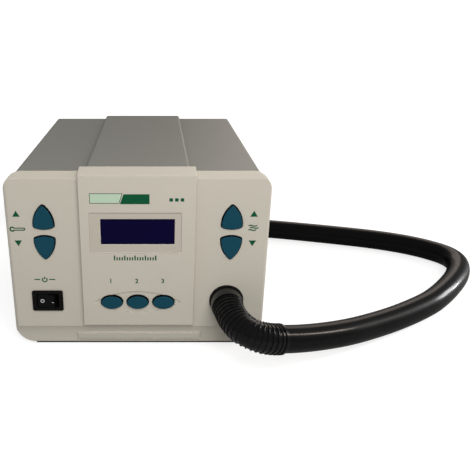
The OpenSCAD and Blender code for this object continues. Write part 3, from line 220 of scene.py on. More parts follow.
# Boot. A corrugated rubber sleeve, pushed into the collar, that holds the hose in its first
# bend: a smooth cone, then nineteen thin round ridges that fan out on the outside of the
# bend, and a thicker lip at the end.
BOOT_LAST = 8
boot_line = [along(route, 1 + i / STEPS) for i in range(STEPS * (BOOT_LAST - 1) + 1)]
path = bpy.data.meshes.new("boot_path")
path.from_pydata(boot_line, [(i, i + 1) for i in range(len(boot_line) - 1)], [])
boot_rubber = surface("boot_rubber", srgb(8, 8, 10), 0.26, tone=0.12, patch=0.01,
                      grain=0.0005, relief=0.000003, rough_spread=0.03, shine=0.25)
boot_tree = bpy.data.node_groups.new("corrugated_boot", "GeometryNodeTree")
boot_tree.interface.new_socket("Geometry", in_out="INPUT", socket_type="NodeSocketGeometry")
boot_tree.interface.new_socket("Geometry", in_out="OUTPUT", socket_type="NodeSocketGeometry")
boot_sizes = []
for label, kind, value in (
        ("Ridges", "NodeSocketInt", 19),
        ("Ridge radius", "NodeSocketFloat", 0.01062),
        ("Ridge bead", "NodeSocketFloat", 0.00058),
        ("Sleeve radius", "NodeSocketFloat", 0.0104),
        ("Neck radius", "NodeSocketFloat", 0.0117),
        ("Lip radius", "NodeSocketFloat", 0.0112)):
    socket = boot_tree.interface.new_socket(label, in_out="INPUT", socket_type=kind)
    boot_sizes.append((socket, value))


def node(tree, kind, **sockets):
    """A node of a geometry tree with its plain inputs set."""
    made = tree.nodes.new(kind)
    for key, value in sockets.items():
        made.inputs[key.replace("_", " ")].default_value = value
    return made


link = boot_tree.links
ROUND = 48
given = node(boot_tree, "NodeGroupInput")
line = node(boot_tree, "GeometryNodeMeshToCurve")
link.new(given.outputs["Geometry"], line.inputs["Mesh"])


def sleeve_on(curve, radius, start, end, taper=1.0):
    """A closed tube on a part of the curve, which narrows to taper times its radius."""
    stretch = node(boot_tree, "GeometryNodeTrimCurve")
    stretch.inputs[2].default_value = start
    stretch.inputs[3].default_value = end
    link.new(curve, stretch.inputs["Curve"])
    run = node(boot_tree, "GeometryNodeSplineParameter")
    narrow = node(boot_tree, "ShaderNodeMapRange", To_Min=1.0, To_Max=taper)
    link.new(run.outputs["Factor"], narrow.inputs["Value"])
    width = node(boot_tree, "GeometryNodeSetCurveRadius")
    link.new(stretch.outputs["Curve"], width.inputs["Curve"])
    link.new(narrow.outputs["Result"], width.inputs["Radius"])
    outline = node(boot_tree, "GeometryNodeCurvePrimitiveCircle", Resolution=ROUND)
    link.new(given.outputs[radius], outline.inputs["Radius"])
    made = node(boot_tree, "GeometryNodeCurveToMesh", Fill_Caps=True)
    link.new(width.outputs["Curve"], made.inputs["Curve"])
    link.new(outline.outputs["Curve"], made.inputs["Profile Curve"])
    return made.outputs["Mesh"]


NECK_END = 0.14
RIDGES_START = 0.15
RIDGES_END = 0.965
LIP_START = 0.972
sleeve = sleeve_on(line.outputs["Curve"], "Sleeve radius", 0.0, 1.0)
neck = sleeve_on(line.outputs["Curve"], "Neck radius", 0.0, NECK_END, taper=0.9)
lip = sleeve_on(line.outputs["Curve"], "Lip radius", LIP_START, 1.0)
ridge_part = node(boot_tree, "GeometryNodeTrimCurve")
ridge_part.inputs[2].default_value = RIDGES_START
ridge_part.inputs[3].default_value = RIDGES_END
link.new(line.outputs["Curve"], ridge_part.inputs["Curve"])
spots = node(boot_tree, "GeometryNodeResampleCurve")
link.new(ridge_part.outputs["Curve"], spots.inputs["Curve"])
link.new(given.outputs["Ridges"], spots.inputs["Count"])
ridge_ring = node(boot_tree, "GeometryNodeCurvePrimitiveCircle", Resolution=ROUND)
link.new(given.outputs["Ridge radius"], ridge_ring.inputs["Radius"])
bead = node(boot_tree, "GeometryNodeCurvePrimitiveCircle", Resolution=12)
link.new(given.outputs["Ridge bead"], bead.inputs["Radius"])
ridge = node(boot_tree, "GeometryNodeCurveToMesh")
link.new(ridge_ring.outputs["Curve"], ridge.inputs["Curve"])
link.new(bead.outputs["Curve"], ridge.inputs["Profile Curve"])
heading = node(boot_tree, "GeometryNodeInputTangent")
facing = node(boot_tree, "FunctionNodeAlignRotationToVector")
facing.axis = "Z"
link.new(heading.outputs["Tangent"], facing.inputs["Vector"])
ridges = node(boot_tree, "GeometryNodeInstanceOnPoints")
link.new(spots.outputs["Curve"], ridges.inputs["Points"])
link.new(ridge.outputs["Mesh"], ridges.inputs["Instance"])
link.new(facing.outputs["Rotation"], ridges.inputs["Rotation"])
joined = node(boot_tree, "GeometryNodeJoinGeometry")
for part in (sleeve, neck, lip, ridges.outputs["Instances"]):
    link.new(part, joined.inputs["Geometry"])
real = node(boot_tree, "GeometryNodeRealizeInstances")
link.new(joined.outputs["Geometry"], real.inputs["Geometry"])
dressed = node(boot_tree, "GeometryNodeSetMaterial")
dressed.inputs["Material"].default_value = boot_rubber
link.new(real.outputs["Geometry"], dressed.inputs["Geometry"])
given_back = node(boot_tree, "NodeGroupOutput")
link.new(dressed.outputs["Geometry"], given_back.inputs["Geometry"])


def grown(name, mesh, tree, sizes, body):
    """The plain mesh that a geometry tree makes of a mesh, riding on a body."""
    seed = bpy.data.objects.new(name + "_seed", mesh)
    bpy.context.scene.collection.objects.link(seed)
    modifier = seed.modifiers.new("grow", "NODES")
    modifier.node_group = tree
    for socket, value in sizes:
        modifier[socket.identifier] = value
    bpy.context.view_layer.update()
    ready = seed.evaluated_get(bpy.context.evaluated_depsgraph_get())
    made = bpy.data.meshes.new_from_object(ready)
    made.name = name
    seed.modifiers.remove(modifier)
    bpy.data.objects.remove(seed)
    return put(name, made, None, body)


boot = grown("boot", path, boot_tree, boot_sizes, "station")
boot.data.shade_smooth()
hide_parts("hose_boot")

# Front bezel. One moulding of cream ABS with softened edges and a fine spark-eroded face.
# It is screwed to the tray behind it, and carries the fascia, the buttons and the switch.
cream_abs = surface("cream_abs", srgb(187, 181, 168), 0.46, tone=0.025, patch=0.04,
                    grain=0.00045, relief=0.000008, shine=0.3)


def flat_regions(work):
    """Groups of faces that lie in one plane and hang together."""
    left, regions = set(work.faces), []
    while left:
        stack = [left.pop()]
        region = []
        while stack:
            face = stack.pop()
            region.append(face)
            for edge in face.edges:
                for other in edge.link_faces:
                    if other in left and face.normal.dot(other.normal) > 0.99998:
                        left.remove(other)
                        stack.append(other)
        regions.append(region)
    return regions


def rims(region):
    """Size and middle of each closed rim of a flat region, the outer one last."""
    inside = set(region)
    left = {edge for face in region for edge in face.edges
            if any(other not in inside for other in edge.link_faces)}
    found = []
    while left:
        stack, points = [left.pop()], []
        while stack:
            edge = stack.pop()
            points += [v.co.copy() for v in edge.verts]
            for vert in edge.verts:
                for other in vert.link_edges:
                    if other in left:
                        left.remove(other)
                        stack.append(other)
        low = [min(p[i] for p in points) for i in range(3)]
        high = [max(p[i] for p in points) for i in range(3)]
        found.append((sum(high) - sum(low), [(l + h) / 2 for l, h in zip(low, high)]))
    return sorted(found, key=lambda rim: rim[0])


def cut_across_holes(work):
    """Seams through the middles of all holes, so that no flat face runs round a hole."""
    for region in flat_regions(work):
        holes = [middle for _, middle in rims(region)[:-1]]
        if not holes:
            continue
        flat = [i for i in range(3) if abs(region[0].normal[i]) < 0.7]
        places = {i: sorted({round(hole[i], 5) for hole in holes}) for i in flat}
        axis = min(flat, key=lambda i: len(places[i]))
        across = Vector([float(i == axis) for i in range(3)])
        for place in places[axis]:
            parts = (region + list({edge for face in region for edge in face.edges})
                     + list({vert for face in region for vert in face.verts}))
            done = bmesh.ops.bisect_plane(work, geom=parts, dist=1e-7, plane_co=across * place,
                                          plane_no=across)
            region = [g for g in done["geom"] if isinstance(g, bmesh.types.BMFace)]
            for g in done["geom_cut"]:
                if isinstance(g, bmesh.types.BMEdge):
                    g.seam = True


CHIN_TOP = 0.0174
CHIN_LOW = 0.0022
CHIN_LEAN = 0.0025
COVE_STEPS = 13
COVE_SKIN = 0.0025


def coved(work):
    """Draws the chin's straight slope back into a shallow cove, so that the face's lower edge
    stands over it as a crisp line. No step comes near an edge of the chin's low pad."""
    for i in range(1, COVE_STEPS):
        level = Vector((0, 0, CHIN_TOP - (CHIN_TOP - CHIN_LOW) * i / COVE_STEPS))
        bmesh.ops.bisect_plane(work, geom=work.faces[:] + work.edges[:] + work.verts[:], dist=1e-7,
                               plane_co=level, plane_no=(0, 0, 1))
    for edge in work.edges:
        if all(abs(vert.co.z - CHIN_TOP) < 1e-5 for vert in edge.verts):
            edge.smooth = False
    for vert in work.verts:
        down = (CHIN_TOP - vert.co.z) / (CHIN_TOP - CHIN_LOW)
        behind = vert.co.y - face_y - CHIN_LEAN * down
        if 0 < down < 1 and -0.0003 < behind < COVE_SKIN:
            vert.co.y += (1 - behind / COVE_SKIN) * CHIN_LEAN * (1 - down - (1 - down) ** 3)


def softened(source, name, width, material, body, segments=3, sharp=32, shape=None):
    """A copy of a CAD piece with its sharp edges rounded, which stands for that piece."""
    work = bmesh.new()
    work.from_mesh(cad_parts[source].data)
    bmesh.ops.remove_doubles(work, verts=work.verts, dist=1e-6)
    work.normal_update()
    cut_across_holes(work)
    bmesh.ops.dissolve_limit(work, angle_limit=math.radians(0.4), verts=work.verts,
                             edges=work.edges, delimit={"SEAM"})
    if shape:
        shape(work)
    plain = bpy.data.meshes.new(name + "_plain")
    work.to_mesh(plain)
    work.free()
    seed = bpy.data.objects.new(name + "_seed", plain)
    bpy.context.scene.collection.objects.link(seed)
    rounding = seed.modifiers.new("rounding", "BEVEL")
    rounding.width = width
    rounding.segments = segments
    rounding.limit_method = "ANGLE"
    rounding.angle_limit = math.radians(sharp)
    rounding.use_clamp_overlap = False
    flat_first = seed.modifiers.new("flat_first", "WEIGHTED_NORMAL")
    flat_first.keep_sharp = True
    plain.shade_smooth()
    bpy.context.view_layer.update()
    ready = seed.evaluated_get(bpy.context.evaluated_depsgraph_get())
    made = bpy.data.meshes.new_from_object(ready)
    made.name = name
    bpy.data.objects.remove(seed)
    obj = put(name, made, material, body)
    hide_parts(source)
    return obj


bezel = softened("front_bezel", "bezel", 0.0005, cream_abs, "station", shape=coved)

# Printed marks on the bezel. Dark green screen print, a hair thick: arrowheads beside the
# buttons, and a plain sign for temperature, for air and for power between or above them.
green_ink = surface("green_ink", srgb(8, 78, 48), 0.5, tone=0.10, patch=0.004,
                    grain=0.0002, relief=0.000003, shine=0.15)
PRINT_T = 0.00004


def printed(name, loops, place, depth=0.0, material=None, body="station"):
    """Thin closed print on the front. Loops are outlines in millimetres, a loop inside
    another is a hole, and place is the middle (x, z) in millimetres on the face."""
    art = bpy.data.curves.new(name, "CURVE")
    art.dimensions = "2D"
    art.fill_mode = "BOTH"
    art.extrude = PRINT_T
    for loop in loops:
        spline = art.splines.new("POLY")
        spline.points.add(len(loop) - 1)
        spline.use_cyclic_u = True
        for point, (x, z) in zip(spline.points, loop):
            point.co = ((place[0] + x) / 1000, (place[1] + z) / 1000, 0, 1)
    return pressed_flat(name, art, depth, material or green_ink, body)


def pressed_flat(name, art, depth, material, body):
    """Turns flat artwork drawn in x and y upright, so that it lies on the front."""
    seed = bpy.data.objects.new(name + "_seed", art)
    bpy.context.scene.collection.objects.link(seed)
    bpy.context.view_layer.update()
    made = bpy.data.meshes.new_from_object(seed)
    made.name = name
    bpy.data.objects.remove(seed)
    upright = Matrix.Rotation(math.pi / 2, 4, "X")
    made.transform(Matrix.Translation((case_x, face_y - depth, 0)) @ upright)
    work = bmesh.new()
    work.from_mesh(made)
    bmesh.ops.remove_doubles(work, verts=work.verts, dist=1e-7)
    bmesh.ops.recalc_face_normals(work, faces=work.faces)
    work.to_mesh(made)
    work.free()
    return put(name, made, material, body)


def bar(x0, x1, z0, z1):
    return [(x0, z0), (x1, z0), (x1, z1), (x0, z1)]


def round_loop(x, z, r, start=0.0, end=360.0, steps=32):
    """Points of an arc, from one angle to another in degrees."""
    turn = [math.radians(start + (end - start) * i / steps) for i in range(steps + 1)]
    if end - start == 360:
        turn.pop()
    return [(x + r * math.cos(a), z + r * math.sin(a)) for a in turn]


def band(points, width):
    """The outline of a line of that width through the points."""
    left, right = [], []
    for i, (x, z) in enumerate(points):
        ax, az = points[max(0, i - 1)]
        bx, bz = points[min(len(points) - 1, i + 1)]
        size = math.hypot(bx - ax, bz - az)
        nx, nz = -(bz - az) / size * width / 2, (bx - ax) / size * width / 2
        left.append((x + nx, z + nz))
        right.append((x - nx, z - nz))
    return left + right[::-1]


UP_MARK_Z = 108.0
DOWN_MARK_Z = 85.5
for side, mark_x in (("temp", -86.0), ("air", 82.3)):
    printed(side + "_up_mark", [[(-2.7, -2.2), (2.7, -2.2), (0, 2.3)]], (mark_x, UP_MARK_Z))
    printed(side + "_down_mark", [[(-2.7, 2.2), (0, -2.3), (2.7, 2.2)]], (mark_x, DOWN_MARK_Z))
glass_tube = round_loop(4.6, 0, 1.15, -90, 90, 12) + round_loop(-3.6, 0, 2.0, 35, 325, 28)
bore = round_loop(4.4, 0, 0.4, -90, 90, 10) + round_loop(-3.6, 0, 0.95, 25, 335, 24)
printed("temp_sign", [glass_tube, bore], (-85.9, 96.4))
STROKE = 0.85
for i, (low, high) in enumerate(((-3.6, 2.6), (-2.6, 3.6), (-3.6, 2.0))):
    wave = [(low + (high - low) * k / 20, 0.32 * math.sin(k / 20 * 2.2 * math.pi))
            for k in range(21)]
    printed("air_sign_%d" % (i + 1), [band(wave, STROKE)], (82.5, 99.0 - 1.65 * i))
ring = band(round_loop(0, -0.2, 1.7, 128, 412, 40), STROKE)
printed("power_sign", [ring, bar(-0.42, 0.42, 0.2, 2.3), bar(-7.6, -3.4, -0.42, 0.42),
                       bar(3.4, 7.6, -0.42, 0.42)], (-69.0, 56.6))

# Centre fascia. A second cream moulding, pressed over the bezel from the front, that wraps
# over its top edge. It has a shallow frame round the display and an eye-shaped dip below.
fascia = softened("centre_fascia", "fascia", 0.0005, cream_abs, "station")
# A darker, slightly smoother copy of the cream for the sunken floor of the display's frame. The
# darkening is painted shade of the recess.
recess_shade_abs = surface("recess_shade_abs", srgb(178, 171, 158), 0.40, tone=0.02, patch=0.04,
                       grain=0.0006, relief=0.000003, shine=0.3)
fascia.data.materials.append(recess_shade_abs)
FRAME_X = -0.0015
FRAME_HALF_W = 0.034
FRAME_LOW = 0.078
FRAME_HIGH = 0.112
# The frame's sunken floor faces take the darker cream: painted shade.
for face in fascia.data.polygons:
    x, y, z = face.center - Vector((case_x, face_y - FASCIA_PROUD, 0))
    in_frame = abs(x - FRAME_X) < FRAME_HALF_W and FRAME_LOW < z < FRAME_HIGH
    if face.normal.y < -0.99 and 0.0003 < y < 0.001 and in_frame:
        face.material_index = 1

# Printed marks on the fascia: a plain bar in two parts with a slanted joint, three squares,
# a row of scale ticks under the display, and the channels' numbers.
mint_ink = surface("mint_ink", srgb(176, 196, 172), 0.5, tone=0.04, patch=0.004,
                   grain=0.0002, relief=0.000003)
PLATE_X = -21.4
PLATE_Z = 120.4
printed("plate_rule", [[(-11.8, -3.5), (8.9, -3.5), (11.3, 3.9), (-11.8, 3.9)],
                       [(-11.4, -3.1), (8.6, -3.1), (10.7, 3.5), (-11.4, 3.5)]],
        (PLATE_X, PLATE_Z), FASCIA_PROUD)
printed("plate_ground", [[(-11.3, -3.0), (8.5, -3.0), (10.6, 3.4), (-11.3, 3.4)]],
        (PLATE_X, PLATE_Z), FASCIA_PROUD, mint_ink)
printed("plate_block", [[(-0.4, -3.9), (20.2, -3.9), (20.2, 3.3), (2.2, 3.3)]],
        (-11.7, PLATE_Z), FASCIA_PROUD)
printed("square_marks", [bar(x, x + 2.4, -1.2, 1.2) for x in (-5.1, -1.2, 2.7)],
        (27.4, 119.6), FASCIA_PROUD)
printed("scale_marks", [bar(1.85 * i - 0.5, 1.85 * i + 0.5, -1.9, 1.9 if i % 4 == 0 else 0.6)
                        for i in range(-8, 9)], (-2.0, 75.7), FASCIA_PROUD)
NUMBER_Z = 0.0571
for i, number_x in enumerate((-20.0, -1.0, 18.0)):
    name = "channel_%d_number" % (i + 1)
    digit = bpy.data.curves.new(name, "FONT")
    digit.body = str(i + 1)
    digit.size = 0.0046
    digit.align_x = "CENTER"
    digit.align_y = "CENTER"
    digit.extrude = PRINT_T
    digit.offset = 0.00013
    number = pressed_flat(name, digit, FASCIA_PROUD, green_ink, "station")
    number.data.transform(Matrix.Translation((number_x / 1000, 0, NUMBER_Z)))

# Display. A window of dark navy plastic in the fascia's frame, over the liquid crystal
# module, whose black steel frame and glass lie behind it on the control board.
navy_glass = surface("navy_glass", srgb(11, 7, 43), 0.22, tone=0.06, patch=0.03,
                     grain=0.002, relief=0.000001, rough_spread=0.03, shine=0.02)
window = softened("display_window", "display_pane", 0.0002, navy_glass, "station", segments=2)


def dressed(node, material):
    """Gives a CAD piece that shows as it is its material."""
    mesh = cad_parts[node].data
    mesh.materials.clear()
    mesh.materials.append(material)


module_grey = surface("module_grey", srgb(64, 68, 74), 0.35, tone=0.06, patch=0.01, metallic=0.6)
board_green = surface("board_green", srgb(38, 98, 60), 0.32, tone=0.10, patch=0.006,
                      grain=0.0008, relief=0.00001, coat=0.4)
black_moulding = surface("black_moulding", srgb(26, 26, 27), 0.42, tone=0.08, patch=0.01,
                         grain=0.0004, relief=0.000008)
dressed("display_module", module_grey)
dressed("control_board", board_green)
dressed("key_switches", black_moulding)

# Buttons. Glossy teal caps with a rounded face, each passing through its opening to a key switch.
# The gap round each cap is painted shade: its sides and a thin slab in the gap are near black.
teal_cap = surface("teal_cap", srgb(20, 65, 80), 0.30, tone=0.07, patch=0.006,
                   grain=0.0003, relief=0.000006, shine=0.08)
# Near-black paint for the sides of the caps and for the gaps round them: painted shade.
painted_gap_shade = surface("painted_gap_shade", srgb(8, 12, 16), 0.6, tone=0.10, patch=0.004, shine=0.05)
BUTTON_PROUD = 0.0016
GAP_SHADE_BACK = 0.00003
GAP_SHADE_T = 0.0008
GAP_SHADE_OUT = 0.0005
for button in ("temp_up", "temp_down", "air_up", "air_down", "channel_1", "channel_2", "channel_3"):
    cad_name = button + "_button"
    cap = softened(cad_name, button + "_cap", 0.0008, teal_cap, cad_name + "_cap", segments=6)
    # The cap's sides and the outer part of its rounding take the near-black paint, as painted shade
    # of the gap.
    cap.data.materials.append(painted_gap_shade)
    for face in cap.data.polygons:
        if face.normal.y > -0.4:
            face.material_index = 1
    # A thin slab of the button's own outline, just behind the panel's face and spread a little
    # wider, fills the gap in near black: painted shade.
    ring = bmesh.new()
    ring.from_mesh(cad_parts[cad_name].data)
    panel_y = cap.bound_box[0][1] + BUTTON_PROUD
    for y, way in ((panel_y + GAP_SHADE_BACK, -1), (panel_y + GAP_SHADE_BACK + GAP_SHADE_T, 1)):
        bmesh.ops.bisect_plane(ring, geom=ring.faces[:] + ring.edges[:] + ring.verts[:], dist=1e-7,
                               plane_co=(0, y, 0), plane_no=(0, way, 0), clear_outer=True)
        bmesh.ops.holes_fill(ring, edges=[e for e in ring.edges if e.is_boundary], sides=0)
    low = [min(v.co[i] for v in ring.verts) for i in range(3)]
    high = [max(v.co[i] for v in ring.verts) for i in range(3)]
    for vert in ring.verts:
        for i in (0, 2):
            half = (high[i] - low[i]) / 2
            vert.co[i] += (vert.co[i] - (low[i] + high[i]) / 2) * GAP_SHADE_OUT / half
    bmesh.ops.recalc_face_normals(ring, faces=ring.faces)
    gap_shade_slab = bpy.data.meshes.new(button + "_skirt")
    ring.to_mesh(gap_shade_slab)
    ring.free()
    put(button + "_skirt", gap_shade_slab, painted_gap_shade, cad_name + "_cap")

# Power switch. A black snap-in housing with a glossy rim, and a satin rocker in its well,
# with a printed white ring at the side that is pressed in, and a short dash at the other.
switch_black = surface("switch_black", srgb(15, 14, 13), 0.30, tone=0.08, patch=0.006,
                       grain=0.0003, relief=0.000005, shine=0.09)
rocker_black = surface("rocker_black", srgb(13, 13, 13), 0.36, tone=0.10, patch=0.004,
                       grain=0.00025, relief=0.000008, shine=0.09)
housing = softened("switch_housing", "switch_case", 0.0005, switch_black, "station")
rocker = softened("switch_rocker", "rocker", 0.0004, rocker_black, "power_rocker")
white_ink = surface("white_ink", srgb(205, 205, 205), 0.5, tone=0.06, patch=0.002,
                    grain=0.0002, relief=0.000003)
WELL_IN_FRONT = 0.05


def printed_on(name, loops, piece, place, material, body):
    """The same thin print, laid on whatever face of the piece lies behind that place."""
    start = Vector((case_x + place[0] / 1000, face_y - WELL_IN_FRONT, place[1] / 1000))
    hit, spot, normal, _ = piece.ray_cast(start, Vector((0, 1, 0)))
    mark = printed(name, loops, (0, 0), material=material, body=body)
    mark.data.transform(Matrix.Translation((-case_x, -face_y, 0)))
    lean = Vector((0, -1, 0)).rotation_difference(normal).to_matrix().to_4x4()
    mark.data.transform(Matrix.Translation(spot) @ lean)
    return mark


printed_on("off_ring", [round_loop(0, 0, 1.45), round_loop(0, 0, 0.95)], rocker,
           (-71.6, 39.4), white_ink, "power_rocker")
printed_on("on_dash", [bar(-0.9, 0.9, -0.22, 0.22)], rocker, (-63.6, 39.0),
           white_ink, "power_rocker")

# Case. A folded sheet-metal cover, sprayed mid grey, over a tray and a rear plate of the
# same paint. The spray has left a fine orange peel and a faint speckle.
grey_spray = surface("grey_spray", srgb(121, 120, 114), 0.48, tone=0.045, patch=0.02,
                     grain=0.0007, relief=0.000015, shine=0.14)
for cad_name, name, width in (("top_cover", "cover", 0.00045), ("base_tray", "tray", 0.0003),
                              ("rear_panel", "back_plate", 0.0003)):
    sheet = softened(cad_name, name, width, grey_spray, "station", segments=2)

# Screws, feet and collar. Nickel-plated screws with turned heads, black rubber feet with a
# matt bloom, and the black moulded collar in which the boot sits.
nickel = surface("nickel", srgb(186, 186, 184), 0.26, tone=0.05, patch=0.002,
                 grain=0.0003, relief=0.000004, metallic=1.0)
foot_rubber = surface("foot_rubber", srgb(30, 30, 30), 0.75, tone=0.15, patch=0.003,
                      grain=0.0004, relief=0.00002)
for cad_name in ("cover_screws", "rear_screws", "foot_screws", "board_screws", "handle_screws",
                 "nozzle_screw", "motor_shaft", "motor_bearings"):
    dressed(cad_name, nickel)
feet = softened("rubber_feet", "feet", 0.0005, foot_rubber, "station")
collar = softened("outlet_collar", "collar", 0.00045, switch_black, "station")

# Mains inlet. A black moulded socket with three tinned pins, a fuse drawer above them with
# a finger lip, and a brass ground jack beside it.
inlet_black = surface("inlet_black", srgb(28, 28, 29), 0.45, tone=0.08, patch=0.006,
                      grain=0.0005, relief=0.00001)
tin = surface("tin", srgb(196, 192, 180), 0.30, tone=0.06, patch=0.002, metallic=1.0)
brass = surface("brass", srgb(200, 168, 92), 0.28, tone=0.07, patch=0.002, metallic=1.0)
fuse_glass = surface("fuse_glass", srgb(214, 220, 222), 0.08, tone=0.03, patch=0.004)
fuse_glass.node_tree.nodes["Principled BSDF"].inputs["Transmission Weight"].default_value = 0.6
socket = softened("mains_inlet", "inlet", 0.0004, inlet_black, "station")
drawer = softened("fuse_drawer", "drawer", 0.0003, inlet_black, "fuse_holder")
jack = softened("ground_jack", "jack", 0.0002, brass, "station")
dressed("inlet_pins", tin)
dressed("switch_tabs", tin)
dressed("fuse", fuse_glass)

# Handpiece. Two black moulded shells with grip grooves, a ridged tail boot, a ceramic-white
# collar, and a steel barrel and nozzle, blued and browned by heat towards the tip.
grip_black = surface("grip_black", srgb(30, 30, 31), 0.55, tone=0.10, patch=0.008,
                     grain=0.0006, relief=0.00003)
ceramic = surface("ceramic", srgb(204, 196, 178), 0.60, tone=0.05, patch=0.008,
                  grain=0.0004, relief=0.00001)
for cad_name, name in (("handle_left", "grip_left"), ("handle_right", "grip_right")):
    grip = softened(cad_name, name, 0.0004, grip_black, "station", segments=2)
tail = softened("hand_boot", "tail_boot", 0.0003, boot_rubber, "station", segments=2)
neck_collar = softened("heat_collar", "barrel_collar", 0.00045, ceramic, "station")


def heat_tinted(name, cold, straw, blue, start, end):
    """Turned steel whose oxide colours run along x, from cold at start to blue at end."""
    made = surface(name, cold, 0.28, tone=0.05, patch=0.004, grain=0.0003, relief=0.000004,
                   metallic=1.0, stretch=(12, 1, 1))
    nodes, links = made.node_tree.nodes, made.node_tree.links
    shader = nodes["Principled BSDF"]
    place = nodes.new("ShaderNodeTexCoord")
    split = nodes.new("ShaderNodeSeparateXYZ")
    links.new(place.outputs["Object"], split.inputs["Vector"])
    waver = nodes.new("ShaderNodeTexNoise")
    waver.inputs["Scale"].default_value = 60
    links.new(place.outputs["Object"], waver.inputs["Vector"])
    shift = nodes.new("ShaderNodeMath")
    shift.operation = "MULTIPLY_ADD"
    shift.inputs[1].default_value = 0.012
    links.new(waver.outputs["Fac"], shift.inputs[0])
    links.new(split.outputs["X"], shift.inputs[2])
    run = nodes.new("ShaderNodeMapRange")
    run.inputs["From Min"].default_value = start
    run.inputs["From Max"].default_value = end
    links.new(shift.outputs["Value"], run.inputs["Value"])
    ramp = nodes.new("ShaderNodeValToRGB")
    ramp.color_ramp.elements[0].color = cold
    ramp.color_ramp.elements[1].color = blue
    ramp.color_ramp.elements.new(0.6).color = straw
    links.new(run.outputs["Result"], ramp.inputs["Fac"])
    tint = nodes.new("ShaderNodeMix")
    tint.data_type = "RGBA"
    tint.blend_type = "MULTIPLY"
    tint.inputs["Factor"].default_value = 0.85
    old = shader.inputs["Base Color"].links[0].from_socket
    links.new(old, tint.inputs["A"])
    links.new(ramp.outputs["Color"], tint.inputs["B"])
    links.new(tint.outputs["Result"], shader.inputs["Base Color"])
    return made


barrel_low, barrel_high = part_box("barrel")
nozzle_low, nozzle_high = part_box("nozzle")
barrel_steel = heat_tinted("barrel_steel", srgb(206, 206, 204), srgb(206, 178, 128),
                           srgb(120, 124, 148), barrel_low[0], barrel_high[0] + 0.004)
nozzle_steel = heat_tinted("nozzle_steel", srgb(200, 198, 194), srgb(190, 160, 116),
                           srgb(96, 100, 128), nozzle_low[0], nozzle_high[0])
shaft = softened("barrel", "steel_barrel", 0.0003, barrel_steel, "station", segments=2)
tip = softened("nozzle", "steel_nozzle", 0.0003, nozzle_steel, "hot_nozzle", segments=2)
dressed("heater_core", surface("mica", srgb(186, 160, 116), 0.5, tone=0.10, patch=0.003))

# Inside of the case. The blower with its motor and filter, the duct to the collar, the
# power board with its parts, the transformer, and two mains wires to the switch.
dark_grey_moulding = surface("dark_grey_moulding", srgb(62, 64, 67), 0.5, tone=0.07,
                             patch=0.01)
bright_zinc = surface("bright_zinc", srgb(170, 173, 176), 0.36, tone=0.06, patch=0.004,
                      metallic=0.9)
ivory_moulding = surface("ivory_moulding", srgb(216, 212, 202), 0.5, tone=0.04, patch=0.01)
copper_wire = surface("copper_wire", srgb(178, 106, 58), 0.34, tone=0.10, patch=0.001,
                      metallic=0.9, stretch=(1, 1, 6))
iron_sheets = surface("iron_sheets", srgb(104, 106, 110), 0.45, tone=0.14, patch=0.0006,
                      metallic=0.8, stretch=(1, 12, 1))
open_foam = surface("open_foam", srgb(74, 84, 76), 0.95, tone=0.25, patch=0.002, grain=0.001,
                    relief=0.0003)
blue_sleeve = surface("blue_sleeve", srgb(44, 70, 116), 0.35, tone=0.07, patch=0.003)
green_block = surface("green_block", srgb(52, 140, 92), 0.42, tone=0.06, patch=0.003)
wire_jacket = surface("wire_jacket", srgb(122, 64, 44), 0.40, tone=0.08, patch=0.004)
for material, cad_names in (
        (dark_grey_moulding, ("air_duct", "blower_base", "blower_lid")),
        (bright_zinc, ("motor_can", "heat_sink")),
        (ivory_moulding, ("impeller", "board_pillars")),
        (copper_wire, ("motor_stator", "transformer_coil")),
        (iron_sheets, ("transformer_core",)),
        (open_foam, ("intake_filter",)),
        (foot_rubber, ("blower_mounts",)),
        (board_green, ("power_board",)),
        (black_moulding, ("triacs",)),
        (blue_sleeve, ("capacitors",)),
        (green_block, ("terminal_blocks",)),
        (wire_jacket, ("mains_wires",))):
    for cad_name in cad_names:
        dressed(cad_name, material)

# Bench. A plain sheet of white paper that reaches far past the object. The camera, and
# whatever is seen through glass, sees it as white, and it keeps the object's shadow.
BENCH_HALF = 6
bench_mesh = bpy.data.meshes.new("bench")
bench_mesh.from_pydata([(x * BENCH_HALF, y * BENCH_HALF, 0) for x, y in
                        ((-1, -1), (1, -1), (1, 1), (-1, 1))], [], [(0, 1, 2, 3)])
bench = bpy.data.objects.new("bench", bench_mesh)
bpy.context.scene.collection.objects.link(bench)


def ray_is(tree, *kinds):
    """1 for a ray of one of these kinds, and otherwise 0."""
    ray = tree.nodes.new("ShaderNodeLightPath")
    total = ray.outputs[kinds[0]]
    for kind in kinds[1:]:
        add = tree.nodes.new("ShaderNodeMath")
        add.use_clamp = True
        tree.links.new(total, add.inputs[0])
        tree.links.new(ray.outputs[kind], add.inputs[1])
        total = add.outputs["Value"]
    return total


bench_white = bpy.data.materials.new("bench_white")
bench_white.use_nodes = True
bench_tree = bench_white.node_tree
paper = bench_tree.nodes["Principled BSDF"]
paper.inputs["Base Color"].default_value = (0.4, 0.4, 0.4, 1)
paper.inputs["Roughness"].default_value = 0.9
paper.inputs["Specular IOR Level"].default_value = 0.0
spread = bench_tree.nodes.new("ShaderNodeTexCoord")
far = bench_tree.nodes.new("ShaderNodeVectorMath")
far.operation = "LENGTH"
bench_tree.links.new(spread.outputs["Object"], far.inputs[0])
SHADOW_REACH = 0.45
WHITE_FROM = 1.6
lift = bench_tree.nodes.new("ShaderNodeMapRange")
lift.inputs["From Min"].default_value = SHADOW_REACH
lift.inputs["From Max"].default_value = WHITE_FROM
lift.inputs["To Min"].default_value = 0.72
lift.inputs["To Max"].default_value = 1.0
bench_tree.links.new(far.outputs["Value"], lift.inputs["Value"])
shown = bench_tree.nodes.new("ShaderNodeMath")
shown.operation = "MULTIPLY"
seen = ray_is(bench_tree, "Is Camera Ray", "Is Transmission Ray")
